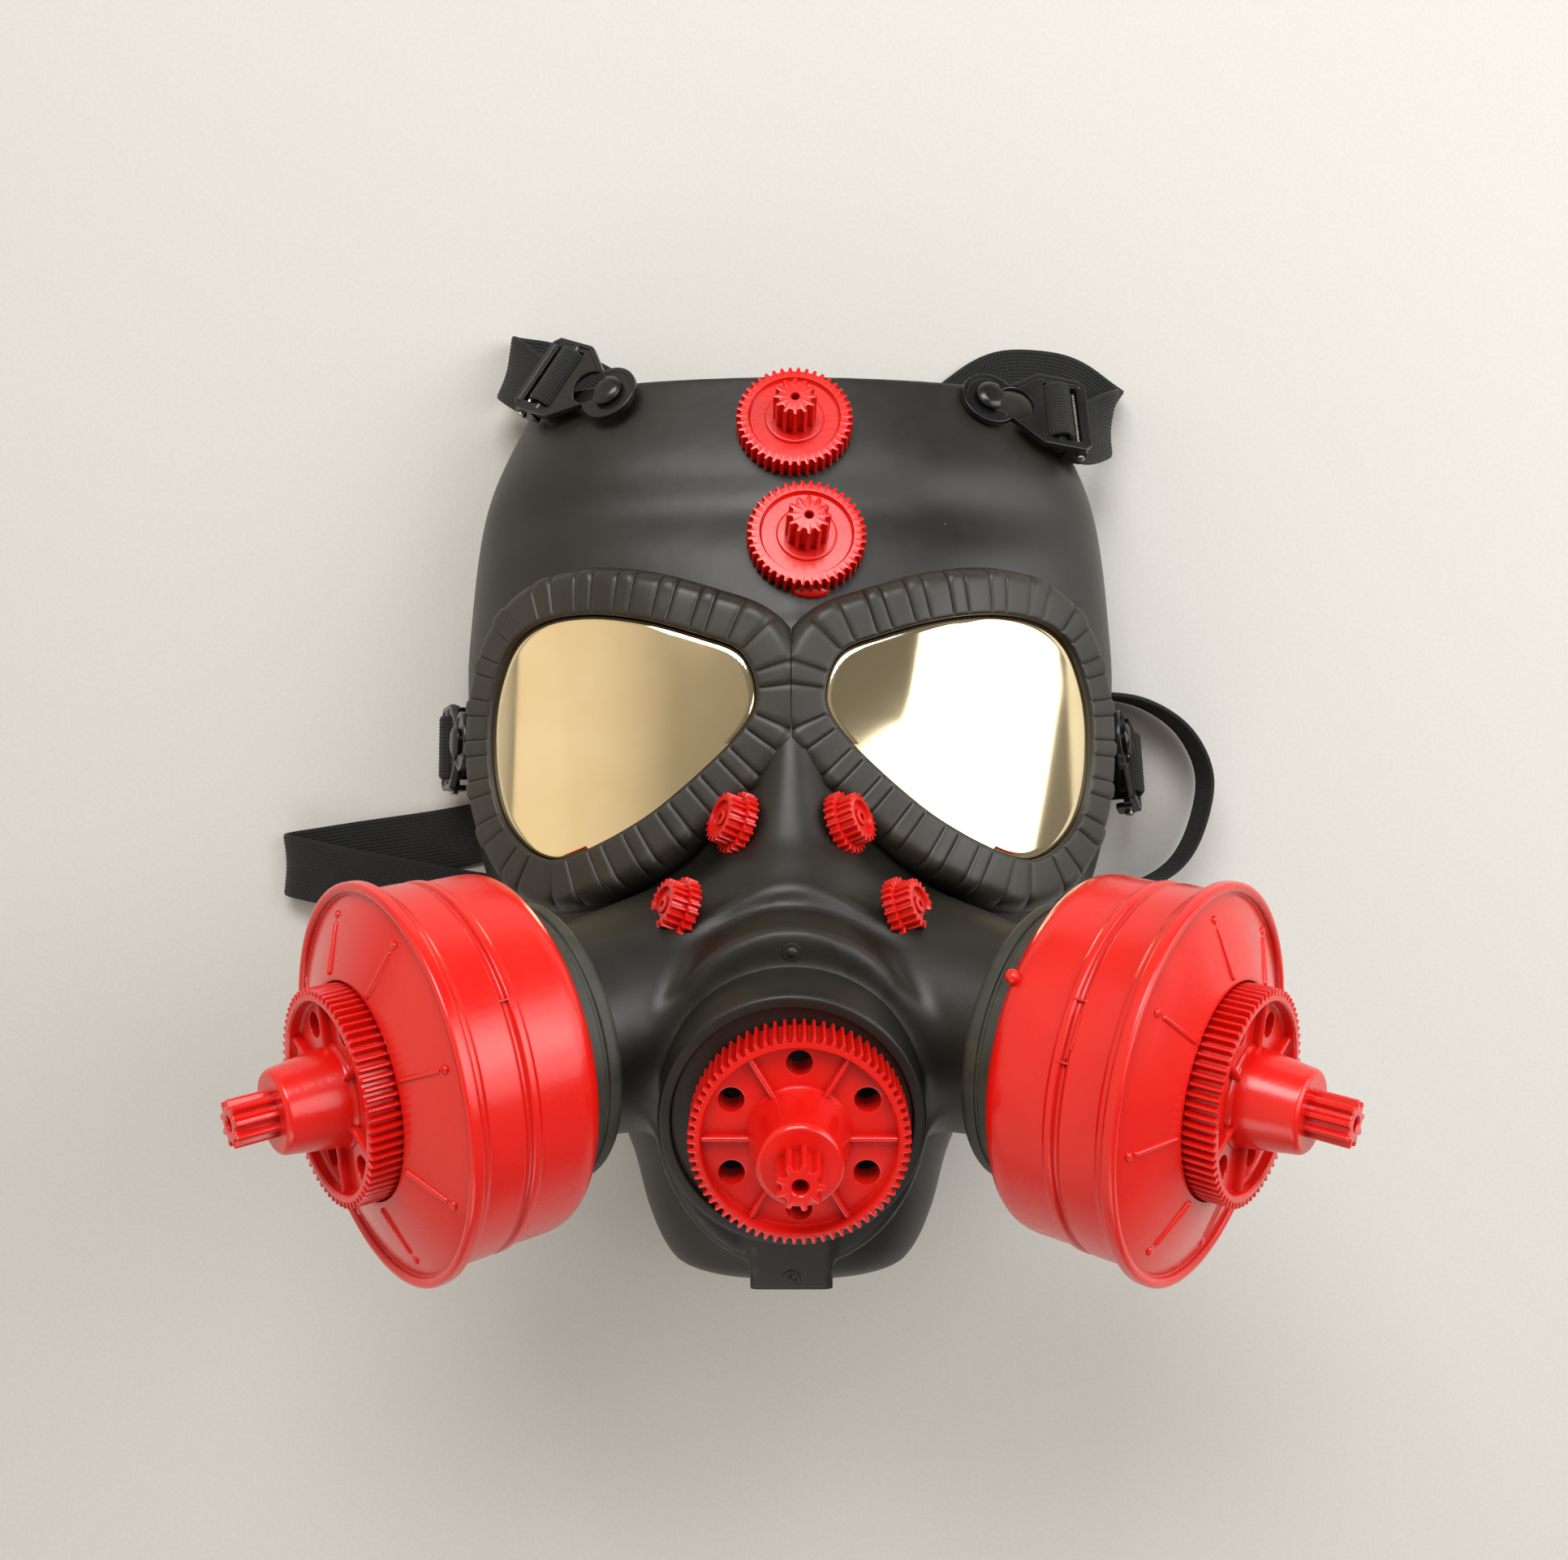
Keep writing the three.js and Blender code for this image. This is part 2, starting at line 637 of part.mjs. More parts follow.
// The face's own direction over a patch of the given reach.
function facing(mesh, x, y, reach) {
  const over = (dx, dy) => meet(mesh, at(x + dx, y + dy, 0), outward);
  const across = over(reach, 0).sub(over(-reach, 0));
  const along = over(0, reach).sub(over(0, -reach));
  return across.cross(along).normalize();
}

function canister(side) {
  const radius = canisterRadius;
  const length = canisterLength;
  const edge = radius + 0.3;
  const seatWide = bigWheel.tip + 0.6;
  const seat = faceRise - wheelSeat;
  const profile = [
    [0, -length - spigotLength],
    [spigotRadius, -length - spigotLength],
    [spigotRadius, -length],
    [radius - 4, -length],
    [radius - 1.2, -length + 2.6],
    [radius - 0.4, -length * 0.55],
    [radius + 0.5, -length * 0.52],
    [radius + 0.7, -4.4],
    [radius + canisterRim, -3],
    [radius + canisterRim, -0.5],
    [radius + canisterRim - 1.4, 0],
    [edge, -faceSink],
    [seatWide + 1, faceRise],
    [seatWide, faceRise],
    [seatWide, seat],
    [0, seat],
  ];
  const drum = turned(profile);
  const inside = seatWide + 1;
  const outside = radius * 0.86;
  const slope = Math.atan2(faceRise + faceSink, edge - inside);
  const rib = box((outside - inside) / Math.cos(slope), ribWidth, ribHeight * 2)
    .rotate([0, slope * 180 / Math.PI, 0])
    .translate([(outside + inside) / 2, 0, faceRise - (outside - inside) / 2 * Math.tan(slope)]);
  const ribs = Array.from({ length: canisterRibs }, (_, i) => {
    return rib.rotate([0, 0, 360 * (i + 0.3) / canisterRibs]);
  });
  return moved(joined([drum, ...ribs]), canisterFrame(side));
}

function filterMount(side) {
  const back = -canisterLength - gap;
  const profile = [
    [spigotRadius + gap, back - mountLength],
    [mountRadius - 1.5, back - mountLength],
    [mountRadius, back - mountLength + 1.5],
    [mountRadius, back],
    [spigotRadius + gap, back],
    [spigotRadius + gap, back - mountLength],
  ];
  return moved(turned(profile, roundSides), canisterFrame(side));
}

function canisterWheel(side) {
  const lift = new THREE.Matrix4().makeTranslation(0, 0, faceRise - wheelSeat + gap);
  return moved(hubWheel(), canisterFrame(side).multiply(lift));
}

function snoutWheel() {
  const lift = new THREE.Matrix4().makeTranslation(snoutWheelShift, 0, gap - seatDepth);
  return moved(hubWheel(), snoutFrame.clone().multiply(lift));
}

// A buckle's own frame: peg at the origin, +X to the plate's wide end, +Z off the face.
function plate() {
  const shape = new THREE.Shape();
  const lean = Math.acos(plateEnd / plateShoulder) * 0.8;
  shape.absarc(0, 0, plateEnd, lean, 2 * Math.PI - lean);
  shape.lineTo(plateShoulder, -plateHalfWidth);
  shape.lineTo(plateLength - 2, -plateHalfWidth);
  shape.lineTo(plateLength, 2 - plateHalfWidth);
  shape.lineTo(plateLength, plateHalfWidth - 2);
  shape.lineTo(plateLength - 2, plateHalfWidth);
  shape.lineTo(plateShoulder, plateHalfWidth);
  const slot = pegRadius + gap * 2;
  const body = extruded(shape, plateThickness, 5).translate([0, 0, plateLift]);
  const key = rod(keyRadius, -1, 9, 10).translate([keyOffset, 0, 0])
    .add(rod(slot, -1, 9, 8))
    .add(box(keyOffset, slot * 2, 10, keyOffset / 2, 0, 4));
  const windowWidth = plateLength - plateShoulder - 5;
  const opening = box(windowWidth, strapWidth + 1, plateFlange * 4, plateShoulder + 2 + windowWidth / 2);
  const bar = rod(barRadius, -plateHalfWidth + 0.5, plateHalfWidth - 0.5, 8)
    .rotate([90, 0, 0])
    .translate([barPlace, 0, plateLift + plateThickness - barRadius]);
  const flangeHeight = plateFlange + 0.5;
  const flanges = [-1, 1].map((side) => box(
    7, flangeThickness, flangeHeight,
    plateLength - 4, side * (plateHalfWidth - flangeThickness / 2), plateLift + 0.5 - flangeHeight / 2,
  ));
  const pinHole = rod(pinRadius + gap, -plateHalfWidth - 2, plateHalfWidth + 2, 6)
    .rotate([90, 0, 0])
    .translate([pinPlace, 0, plateLift - gap - pinRadius]);
  return joined([body.subtract(joined([key, opening])), bar, ...flanges]).subtract(pinHole);
}

function pin() {
  return rod(pinRadius, -plateHalfWidth - 1, plateHalfWidth + 1, 6)
    .rotate([90, 0, 0])
    .translate([pinPlace, 0, plateLift - gap - pinRadius]);
}

// A post with a half-moon head that hooks over the plate's round end.
function peg() {
  const head = plateLift + plateThickness + gap;
  const moon = rod(pegHead, head, head + pegHeadThickness, 10)
    .subtract(box(pegHead * 2, pegHead * 3, 20, pegHead + pegRadius * 0.6, 0, head));
  return rod(pegRadius, -wall * 2, head + pegHeadThickness, 8).add(moon);
}

// A flat strap through its stations; across is its width's direction at each.
function ribbon(stations) {
  const last = stations.length - 1;
  const rings = stations.map(({ place, across }, i) => {
    const ahead = stations[Math.min(i + 1, last)].place;
    const behind = stations[Math.max(i - 1, 0)].place;
    const tangent = ahead.clone().sub(behind).normalize();
    const wide = across.clone().addScaledVector(tangent, -across.dot(tangent)).normalize();
    const thick = tangent.clone().cross(wide);
    return [[-1, -1], [1, -1], [1, 1], [-1, 1]].map(([a, b]) => place.clone()
      .addScaledVector(wide, a * strapWidth / 2)
      .addScaledVector(thick, b * strapThickness / 2));
  });
  return loft(rings);
}

// The four buckles' frames, worked out once the face's skin is known.
const skin = faceSolid(0, 0);
const skinMesh = new THREE.Mesh(geometryOf(skin), new THREE.MeshBasicMaterial({ side: THREE.DoubleSide }));

// Spots on a buckle's underside that could touch the face.
const undersides = [
  [-plateEnd, 0, plateLift],
  [0, -plateEnd, plateLift],
  [0, plateEnd, plateLift],
  [plateShoulder, -plateHalfWidth, plateLift],
  [plateShoulder, plateHalfWidth, plateLift],
  [plateLength / 2, 0, plateLift],
  [plateLength - 6, 0, plateLift - plateFlange],
  [plateLength - 9, -plateHalfWidth, plateLift - plateFlange],
  [plateLength - 9, plateHalfWidth, plateLift - plateFlange],
  [plateLength - 2, -plateHalfWidth, plateLift - plateFlange],
  [plateLength - 2, plateHalfWidth, plateLift - plateFlange],
];

// The same frame raised along its own +Z until every underside spot clears the face.
function cleared(frame) {
  const up = outward.clone().transformDirection(frame);
  const back = frame.clone().invert();
  let rise = 0;
  for (const [x, y, z] of undersides) {
    const spot = at(x, y, 0).applyMatrix4(frame);
    const hit = firstHit(skinMesh, spot, up);
    if (hit) rise = Math.max(rise, hit.applyMatrix4(back).z - z + gap * 2);
  }
  return frame.clone().multiply(new THREE.Matrix4().makeTranslation(0, 0, rise));
}

function browFrame(side) {
  const plate = side < 0 ? browPlates.left : browPlates.right;
  const turn = degToRad(plate.turn);
  const droop = degToRad(plate.droop);
  const along = at(Math.cos(turn) * Math.cos(droop), Math.sin(turn) * Math.cos(droop), -Math.sin(droop));
  const x = side * plate.peg * faceWidth / 2;
  const normal = facing(skinMesh, x, browPegY - plateEnd / 2, plateEnd / 2);
  const place = meet(skinMesh, at(x, browPegY, 0), outward);
  return cleared(laid(place, along, normal));
}

function sideFrame(side) {
  const lean = degToRad((side < 0 ? sidePlates.left : sidePlates.right).lean);
  const sideways = at(side, 0, 0);
  const place = meet(skinMesh, at(0, sidePegY, sidePegZ), sideways);
  const end = at(0, sidePegY - plateLength * Math.sin(lean), sidePegZ - plateLength * Math.cos(lean));
  const foot = meet(skinMesh, end.setZ(Math.max(end.z, 1)), sideways).addScaledVector(sideways, sideFlare);
  return cleared(laid(place, foot.sub(place), sideways));
}

const buckleFrames = {
  brow_left: browFrame(-1),
  brow_right: browFrame(1),
  side_left: sideFrame(-1),
  side_right: sideFrame(1),
};

function pegHoles() {
  return Object.values(buckleFrames).map((frame) => moved(
    rod(pegRadius + gap, -wall * 4, wall * 2, 8), frame,
  ));
}

// The strap's turn round a buckle's bar, from its sewn end to where it leaves under the pin.
// sign picks which way the strap's width points.
function wrapped(frame, sign, leave) {
  const reach = barRadius + gap + strapThickness / 2;
  const height = plateLift + plateThickness - barRadius;
  const across = at(0, sign, 0).transformDirection(frame);
  const spots = [225, 180, 135, 90, 45, 0].map((degrees) => {
    const angle = degToRad(degrees);
    return [barPlace + reach * Math.cos(angle), height + reach * Math.sin(angle)];
  });
  const under = plateLift - gap * 2 - pinRadius * 2 - strapThickness;
  spots.push([barPlace + reach, under + strapThickness]);
  if (leave) spots.push([pinPlace - pinRadius, under], [plateLength - 1, under - strapThickness * 1.4]);
  return spots.map(([x, z]) => ({ place: at(x, 0, z).applyMatrix4(frame), across }));
}

// Rows along a strap. x is a share of half the face's width, y of its height, lift of the
// strap's width. aim is the heading of the strap's width in degrees and edge is how far it
// stands up: 0 lies flat, 1 stands on its edge.
const browStrapRows = [
  { x: -0.875, y: 0.507, lift: 0.5, aim: 80, edge: 0 },
  { x: -0.87, y: 0.513, lift: 0.14, aim: 82, edge: 0 },
  { x: -0.8, y: 0.513, lift: 0.01, aim: 82, edge: 0 },
  { x: -0.7, y: 0.5, lift: 0, aim: 72, edge: 0 },
  { x: -0.5, y: 0.455, lift: 0, aim: 62, edge: 0 },
  { x: -0.25, y: 0.385, lift: 0, aim: 75, edge: 0 },
  { x: 0, y: 0.36, lift: 0, aim: 90, edge: 0 },
  { x: 0.25, y: 0.385, lift: 0, aim: 105, edge: 0 },
  { x: 0.5, y: 0.455, lift: 0, aim: 118, edge: 0 },
  { x: 0.7, y: 0.502, lift: 0, aim: 95, edge: 0 },
  { x: 0.85, y: 0.497, lift: 0, aim: 65, edge: 0 },
  { x: 0.96, y: 0.468, lift: 0.02, aim: 56, edge: 0 },
  { x: 1.0, y: 0.45, lift: 0.22, aim: 66, edge: 0 },
  { x: 0.995, y: 0.44, lift: 0.62, aim: 80, edge: 0 },
];
const sideStrapRows = [
  { x: -0.95, y: 0.036, lift: 0.24, aim: 86, edge: 0 },
  { x: -0.85, y: 0.028, lift: 0.18, aim: 76, edge: 0 },
  { x: -0.7, y: 0.002, lift: 0.15, aim: 72, edge: 0 },
  { x: -0.62, y: -0.015, lift: 0.16, aim: 80, edge: 0 },
  { x: -0.585, y: -0.018, lift: 0.12, aim: 90, edge: 0 },
  { x: -0.585, y: -0.019, lift: 0.05, aim: 92, edge: 0 },
  { x: -0.62, y: -0.023, lift: 0.01, aim: 100, edge: 0 },
  { x: -0.75, y: -0.042, lift: 0, aim: 106, edge: 0 },
  { x: -0.92, y: -0.06, lift: 0, aim: 104, edge: 0 },
  { x: -1.1, y: -0.074, lift: 0, aim: 99, edge: 0 },
  { x: -1.38, y: -0.09, lift: 0, aim: 96, edge: 0 },
  { x: -1.54, y: -0.1, lift: 0.03, aim: 93, edge: 0 },
  { x: -1.59, y: -0.103, lift: 0.14, aim: 91, edge: 0 },
  { x: -1.59, y: -0.105, lift: 0.28, aim: 90, edge: 0 },
  { x: -1.54, y: -0.109, lift: 0.38, aim: 88, edge: 0 },
  { x: -1.44, y: -0.118, lift: 0.38, aim: 85, edge: 0 },
  { x: -1.26, y: -0.132, lift: 0.3, aim: 84, edge: 0 },
  { x: -1.1, y: -0.145, lift: 0.17, aim: 83, edge: 0 },
  { x: -0.9, y: -0.158, lift: 0.04, aim: 84, edge: 0 },
  { x: -0.6, y: -0.17, lift: 0, aim: 86, edge: 0 },
  { x: 0, y: -0.18, lift: 0, aim: 90, edge: 0 },
  { x: 0.5, y: -0.17, lift: 0.06, aim: 95, edge: 0.05 },
  { x: 0.75, y: -0.15, lift: 0.32, aim: 98, edge: 0.4 },
  { x: 0.95, y: -0.138, lift: 0.5, aim: 98, edge: 0.85 },
  { x: 1.11, y: -0.127, lift: 0.5, aim: 100, edge: 1 },
  { x: 1.22, y: -0.098, lift: 0.5, aim: 130, edge: 1 },
  { x: 1.28, y: -0.046, lift: 0.5, aim: 170, edge: 1 },
  { x: 1.3, y: 0, lift: 0.5, aim: 190, edge: 1 },
  { x: 1.25, y: 0.052, lift: 0.5, aim: 220, edge: 1 },
  { x: 1.16, y: 0.084, lift: 0.5, aim: 240, edge: 1 },
  { x: 1.04, y: 0.102, lift: 0.5, aim: 265, edge: 1 },
  { x: 0.9, y: 0.104, lift: 0.5, aim: 275, edge: 1 },
  { x: 0.79, y: 0.088, lift: 0.5, aim: 320, edge: 1 },
  { x: 0.73, y: 0.05, lift: 0.49, aim: 360, edge: 0.75 },
  { x: 0.76, y: 0.02, lift: 0.33, aim: 420, edge: 0.35 },
  { x: 0.87, y: 0.01, lift: 0.24, aim: 446, edge: 0.05 },
];

function station({ x, y, lift, aim, edge }) {
  const rest = strapThickness / 2 + gap;
  const stand = edge * Math.PI / 2;
  const heading = degToRad(aim);
  return {
    place: at(x * faceWidth / 2, y * faceHeight, rest + lift * strapWidth),
    across: at(Math.cos(heading) * Math.cos(stand), Math.sin(heading) * Math.cos(stand), Math.sin(stand)),
  };
}

function strap(rows, left, right, leave) {
  const start = wrapped(left, -1, leave);
  const end = wrapped(right, 1, leave).reverse();
  return ribbon([...start, ...rows.map(station), ...end]);
}

const mask = new THREE.Group();

function add(name, solid, look) {
  const mesh = new THREE.Mesh(geometryOf(solid), new THREE.MeshStandardMaterial(colours[look]));
  mesh.name = name;
  mask.add(mesh);
}

const sides = { left: -1, right: 1 };
const clearOfFace = faceSolid(gap, -gap).add(chinTab(gap));

add('face_shell', shell(), 'black');
for (const [name, side] of Object.entries(sides)) {
  add('eye_frame_' + name, eyeFrame(side, clearOfFace), 'bezel');
  add('lens_' + name, lens(side), 'mirror');
  add('canister_' + name, canister(side), 'red');
  add('filter_mount_' + name, filterMount(side), 'black');
  add('canister_wheel_' + name, canisterWheel(side), 'red');
}
add('snout_wheel', snoutWheel(), 'red');

for (const [name, { drop, shift }] of Object.entries(browWheels)) {
  const normal = facing(skinMesh, shift, browEdge - drop, browWheel.tip * 0.7);
  const place = meet(skinMesh, at(shift, browEdge - drop, 0), outward);
  const frame = aimed(place, normal, at(1, 0, 0));
  add('brow_wheel_' + name, moved(plainWheel(), frame).subtract(clearOfFace), 'red');
  for (const [sideName, side] of Object.entries(sides)) {
    const wheel = moved(doubleWheel(), noseWheelFrame(noseWheels[name], side));
    add('nose_wheel_' + name + '_' + sideName, wheel.subtract(clearOfFace), 'red');
  }
}

for (const [name, frame] of Object.entries(buckleFrames)) {
  add('buckle_' + name, moved(plate(), frame), 'black');
  add('peg_' + name, moved(peg(), frame), 'black');
  add('pin_' + name, moved(pin(), frame), 'steel');
}
add('strap_brow', strap(browStrapRows, buckleFrames.brow_left, buckleFrames.brow_right, true), 'webbing');
add('strap_side', strap(sideStrapRows, buckleFrames.side_left, buckleFrames.side_right, false), 'webbing');

// The frame's origin is the middle of the box's underside.
const bounds = new THREE.Box3().setFromObject(mask, true);
const middle = bounds.getCenter(at(0, 0, 0));
mask.position.set(-middle.x, -middle.y, -bounds.min.z);

export default mask;
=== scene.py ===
import math

import bmesh
import bpy
import numpy as np
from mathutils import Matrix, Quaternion, Vector
from mathutils.bvhtree import BVHTree


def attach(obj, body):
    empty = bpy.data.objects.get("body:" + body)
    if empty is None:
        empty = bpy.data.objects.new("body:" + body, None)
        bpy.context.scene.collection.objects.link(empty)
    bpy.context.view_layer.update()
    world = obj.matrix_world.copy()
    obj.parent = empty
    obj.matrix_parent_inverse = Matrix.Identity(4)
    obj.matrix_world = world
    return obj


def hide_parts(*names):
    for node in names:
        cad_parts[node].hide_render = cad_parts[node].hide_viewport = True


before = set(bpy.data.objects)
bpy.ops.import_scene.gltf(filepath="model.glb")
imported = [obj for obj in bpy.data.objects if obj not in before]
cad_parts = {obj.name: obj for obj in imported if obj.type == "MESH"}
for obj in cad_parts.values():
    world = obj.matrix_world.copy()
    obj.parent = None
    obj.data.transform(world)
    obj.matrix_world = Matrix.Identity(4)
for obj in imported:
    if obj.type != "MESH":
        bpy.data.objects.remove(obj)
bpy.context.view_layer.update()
print("frame loaded")

millimetre = 0.001
maskShift = np.array([14.762, -0.715, 0.0])  # from the face's own middle to the model's frame


# Colours and materials
def linear(hexColour):
    channels = [int(hexColour[i:i + 2], 16) / 255 for i in (1, 3, 5)]
    return [c / 12.92 if c <= 0.04045 else ((c + 0.055) / 1.055) ** 2.4 for c in channels] + [1.0]


def addNode(tree, kind, settings=None, links=None):
    node = tree.nodes.new(kind)
    for name, value in (settings or {}).items():
        if isinstance(name, str) and hasattr(node, name):
            setattr(node, name, value)
        else:
            node.inputs[name].default_value = value
    for name, socket in (links or {}).items():
        tree.links.new(socket, node.inputs[name])
    return node


def setRamp(node, stops):
    elements = node.color_ramp.elements
    for i, (place, colour) in enumerate(stops):
        stop = elements[i] if i < 2 else elements.new(place)
        stop.position = place
        stop.color = linear(colour)
    return node


def perMetre(size):
    # How often a pattern of a size in millimetres comes in a metre, as the textures want it.
    return 1 / (size * millimetre)


def newMaterial(name):
    material = bpy.data.materials.new(name)
    material.use_nodes = True
    tree = material.node_tree
    tree.nodes.clear()
    shader = addNode(tree, "ShaderNodeBsdfPrincipled")
    addNode(tree, "ShaderNodeOutputMaterial", links={"Surface": shader.outputs[0]})
    place = addNode(tree, "ShaderNodeTexCoord").outputs["Object"]
    return material, tree, shader, place


def mottled(tree, shader, place, look):
    # One cloudy pattern sets both the tint, which is given back, and where the skin is duller.
    cloud = addNode(tree, "ShaderNodeTexNoise", {"Scale": perMetre(look["patch"]), **look["cloud"]},
                    {"Vector": place}).outputs["Fac"]
    tint = addNode(tree, "ShaderNodeValToRGB", links={"Fac": cloud})
    setRamp(tint, zip(look["tintSpan"], look["tint"]))
    (start, end), (low, high) = look["dullSpan"], look["roughness"]
    dull = addNode(tree, "ShaderNodeMapRange", {
        "From Min": start, "From Max": end, "To Min": low, "To Max": high,
    }, {"Value": cloud})
    tree.links.new(dull.outputs[0], shader.inputs["Roughness"])
    return tint.outputs[0]


def embossed(tree, shader, place, relief, under=None):
    # Bumps laid one over another: size, detail, strength and depth of each.
    for size, detail, strength, depth in relief:
        grain = addNode(tree, "ShaderNodeTexNoise", {"Scale": perMetre(size), "Detail": detail},
                        {"Vector": place})
        links = {"Height": grain.outputs["Fac"]}
        if under:
            links["Normal"] = under
        under = addNode(tree, "ShaderNodeBump", {
            "Strength": strength, "Distance": depth * millimetre,
        }, links).outputs[0]
    tree.links.new(under, shader.inputs["Normal"])


# Injection moulded vinyl, black with an olive cast: a satin skin with a fine grain left by the
# mould, faint cloudy patches and a few pale specks of dust.
mouldedVinyl = {
    "tint": ("#12110c", "#1f1c14"), "dust": "#8f8c80", "roughness": (0.38, 0.5), "ior": 1.5,
    "grain": 0.35, "patch": 38.0, "speck": 7.0,
}

# Softer vinyl of the eye frames, a little glossier where fingers have been.
frameVinyl = {
    "tint": ("#1e1b15", "#2c2820"), "dust": "#77756c", "roughness": (0.38, 0.5), "ior": 1.5,
    "grain": 0.4, "patch": 22.0, "speck": 9.0,
}

# Acetal of the buckles and pegs: black, smooth and glossy, with soft scuffs.
buckleAcetal = {
    "tint": ("#101011", "#1a1a1b"), "dust": "#5c5c5c", "roughness": (0.2, 0.32), "ior": 1.48,
    "grain": 0.5, "patch": 12.0, "speck": 11.0,
}

# Cast vinyl of the filter collars, weathered to a dusty grey-green.
collarVinyl = {
    "tint": ("#25261f", "#3a3b32"), "dust": "#8d8b7d", "roughness": (0.5, 0.66), "ior": 1.53,
    "grain": 0.4, "patch": 9.0, "speck": 5.0,
}

# What the four black plastics share. A speck of dust lies in the middle of a cell of the pattern,
# and only in a cell whose chance number is high.
mouldedSkin = {
    "cloud": {"Detail": 4.0, "Roughness": 0.6}, "tintSpan": (0.35, 0.7), "dullSpan": (0.3, 0.7),
    "speckEdge": (0.035, 0.02), "speckCover": 0.75, "speckChance": (0.7, 0.72), "swell": 14.0,
}


def mouldedMaterial(name, look):
    look = {**mouldedSkin, **look}
    material, tree, shader, place = newMaterial(name)
    tint = mottled(tree, shader, place, look)
    specks = addNode(tree, "ShaderNodeTexVoronoi", {
        "feature": "F1", "Scale": perMetre(look["speck"]), "Randomness": 1.0,
    }, {"Vector": place})
    (edge, core), (seldom, often) = look["speckEdge"], look["speckChance"]
    dot = addNode(tree, "ShaderNodeMapRange", {
        "From Min": edge, "From Max": core, "To Min": 0.0, "To Max": look["speckCover"],
    }, {"Value": specks.outputs["Distance"]})
    rare = addNode(tree, "ShaderNodeMapRange", {
        "From Min": seldom, "From Max": often, "To Min": 0.0, "To Max": 1.0,
    }, {"Value": specks.outputs["Color"]})
    amount = addNode(tree, "ShaderNodeMath", {"operation": "MULTIPLY"},
                     {0: dot.outputs[0], 1: rare.outputs[0]})
    mixed = addNode(tree, "ShaderNodeMix", {"data_type": "RGBA", 7: linear(look["dust"])},
                    {0: amount.outputs[0], 6: tint})
    tree.links.new(mixed.outputs[2], shader.inputs["Base Color"])
    shader.inputs["IOR"].default_value = look["ior"]
    embossed(tree, shader, place,
             [(look["swell"], 2.0, 0.25, 0.8), (look["grain"], 2.0, 0.22, 0.08)])
    return material


# Red enamel over moulded plastic: glossy with a slight orange peel, with painted shade that darkens
# the red in the corners, and duller in patches.
redEnamel = {
    "tint": ("#d3120b", "#d61a0f"), "tintSpan": (0.3, 0.75), "dullSpan": (0.3, 0.75),
    "cloud": {"Detail": 2.0, "Roughness": 0.5}, "patch": 16.0, "roughness": (0.22, 0.34),
    "deep": "#a80b08", "cornerShadeAmount": 0.5, "cornerShadeSpan": (0.35, 0.9), "cornerShadeReach": 3.0, "ior": 1.45,
    "coat": 0.28, "coatRoughness": 0.16, "peel": 1.3, "grit": 0.5,
}


def enamelMaterial(name, look):
    material, tree, shader, place = newMaterial(name)
    tint = mottled(tree, shader, place, look)
    # Painted shade: ambient occlusion darkens the red towards a deeper red in corners and recesses.
    corners = addNode(tree, "ShaderNodeAmbientOcclusion",
                      {"samples": 8, "Distance": look["cornerShadeReach"] * millimetre})
    corner, level = look["cornerShadeSpan"]
    cornerShadeShare = addNode(tree, "ShaderNodeMapRange", {
        "From Min": corner, "From Max": level, "To Min": look["cornerShadeAmount"], "To Max": 0.0,
    }, {"Value": corners.outputs["AO"]})
    mixed = addNode(tree, "ShaderNodeMix", {"data_type": "RGBA", 7: linear(look["deep"])},
                    {0: cornerShadeShare.outputs[0], 6: tint})
    tree.links.new(mixed.outputs[2], shader.inputs["Base Color"])
    shader.inputs["IOR"].default_value = look["ior"]
    shader.inputs["Coat Weight"].default_value = look["coat"]
    shader.inputs["Coat Roughness"].default_value = look["coatRoughness"]
    embossed(tree, shader, place, [(look["peel"], 1.0, 0.3, 0.12), (look["grit"], 2.0, 0.15, 0.05)])
    return material


# Gold mirror film on clear acrylic: a warm, slightly milky mirror with faint smears.
goldMirror = {
    "tint": ("#f3e2bd", "#ecd8ab"), "tintSpan": (0.3, 0.8), "dullSpan": (0.35, 0.7),
    "cloud": {"Detail": 5.0, "Roughness": 0.55, "Distortion": 0.8}, "patch": 26.0,
    "roughness": (0.07, 0.1),
}

# Drawn steel wire of the pins: bright, with fine lines round it and a dull haze.
drawnSteel = {
    "tint": ("#8b8983", "#b9b7b0"), "tintSpan": (0.35, 0.65), "dullSpan": (0.3, 0.7),
    "cloud": {"Detail": 3.0}, "patch": 0.4, "roughness": (0.22, 0.4),
}


def metalMaterial(name, look):
    material, tree, shader, place = newMaterial(name)
    tree.links.new(mottled(tree, shader, place, look), shader.inputs["Base Color"])
    shader.inputs["Metallic"].default_value = 1.0
    return material


# Woven elastic: black yarn in lengthwise ribs with a fine weft across, soft and dull.
wovenElastic = {
    "tint": ("#0b0c0b", "#151614"), "tintSpan": (0.35, 0.75), "patch": 9.0,
    "roughness": 0.85, "sheen": 0.08, "sheenRoughness": 0.5,
    "weft": 0.75, "weftStrength": 0.6, "weftDepth": 0.18, "fuzz": 0.25,
}


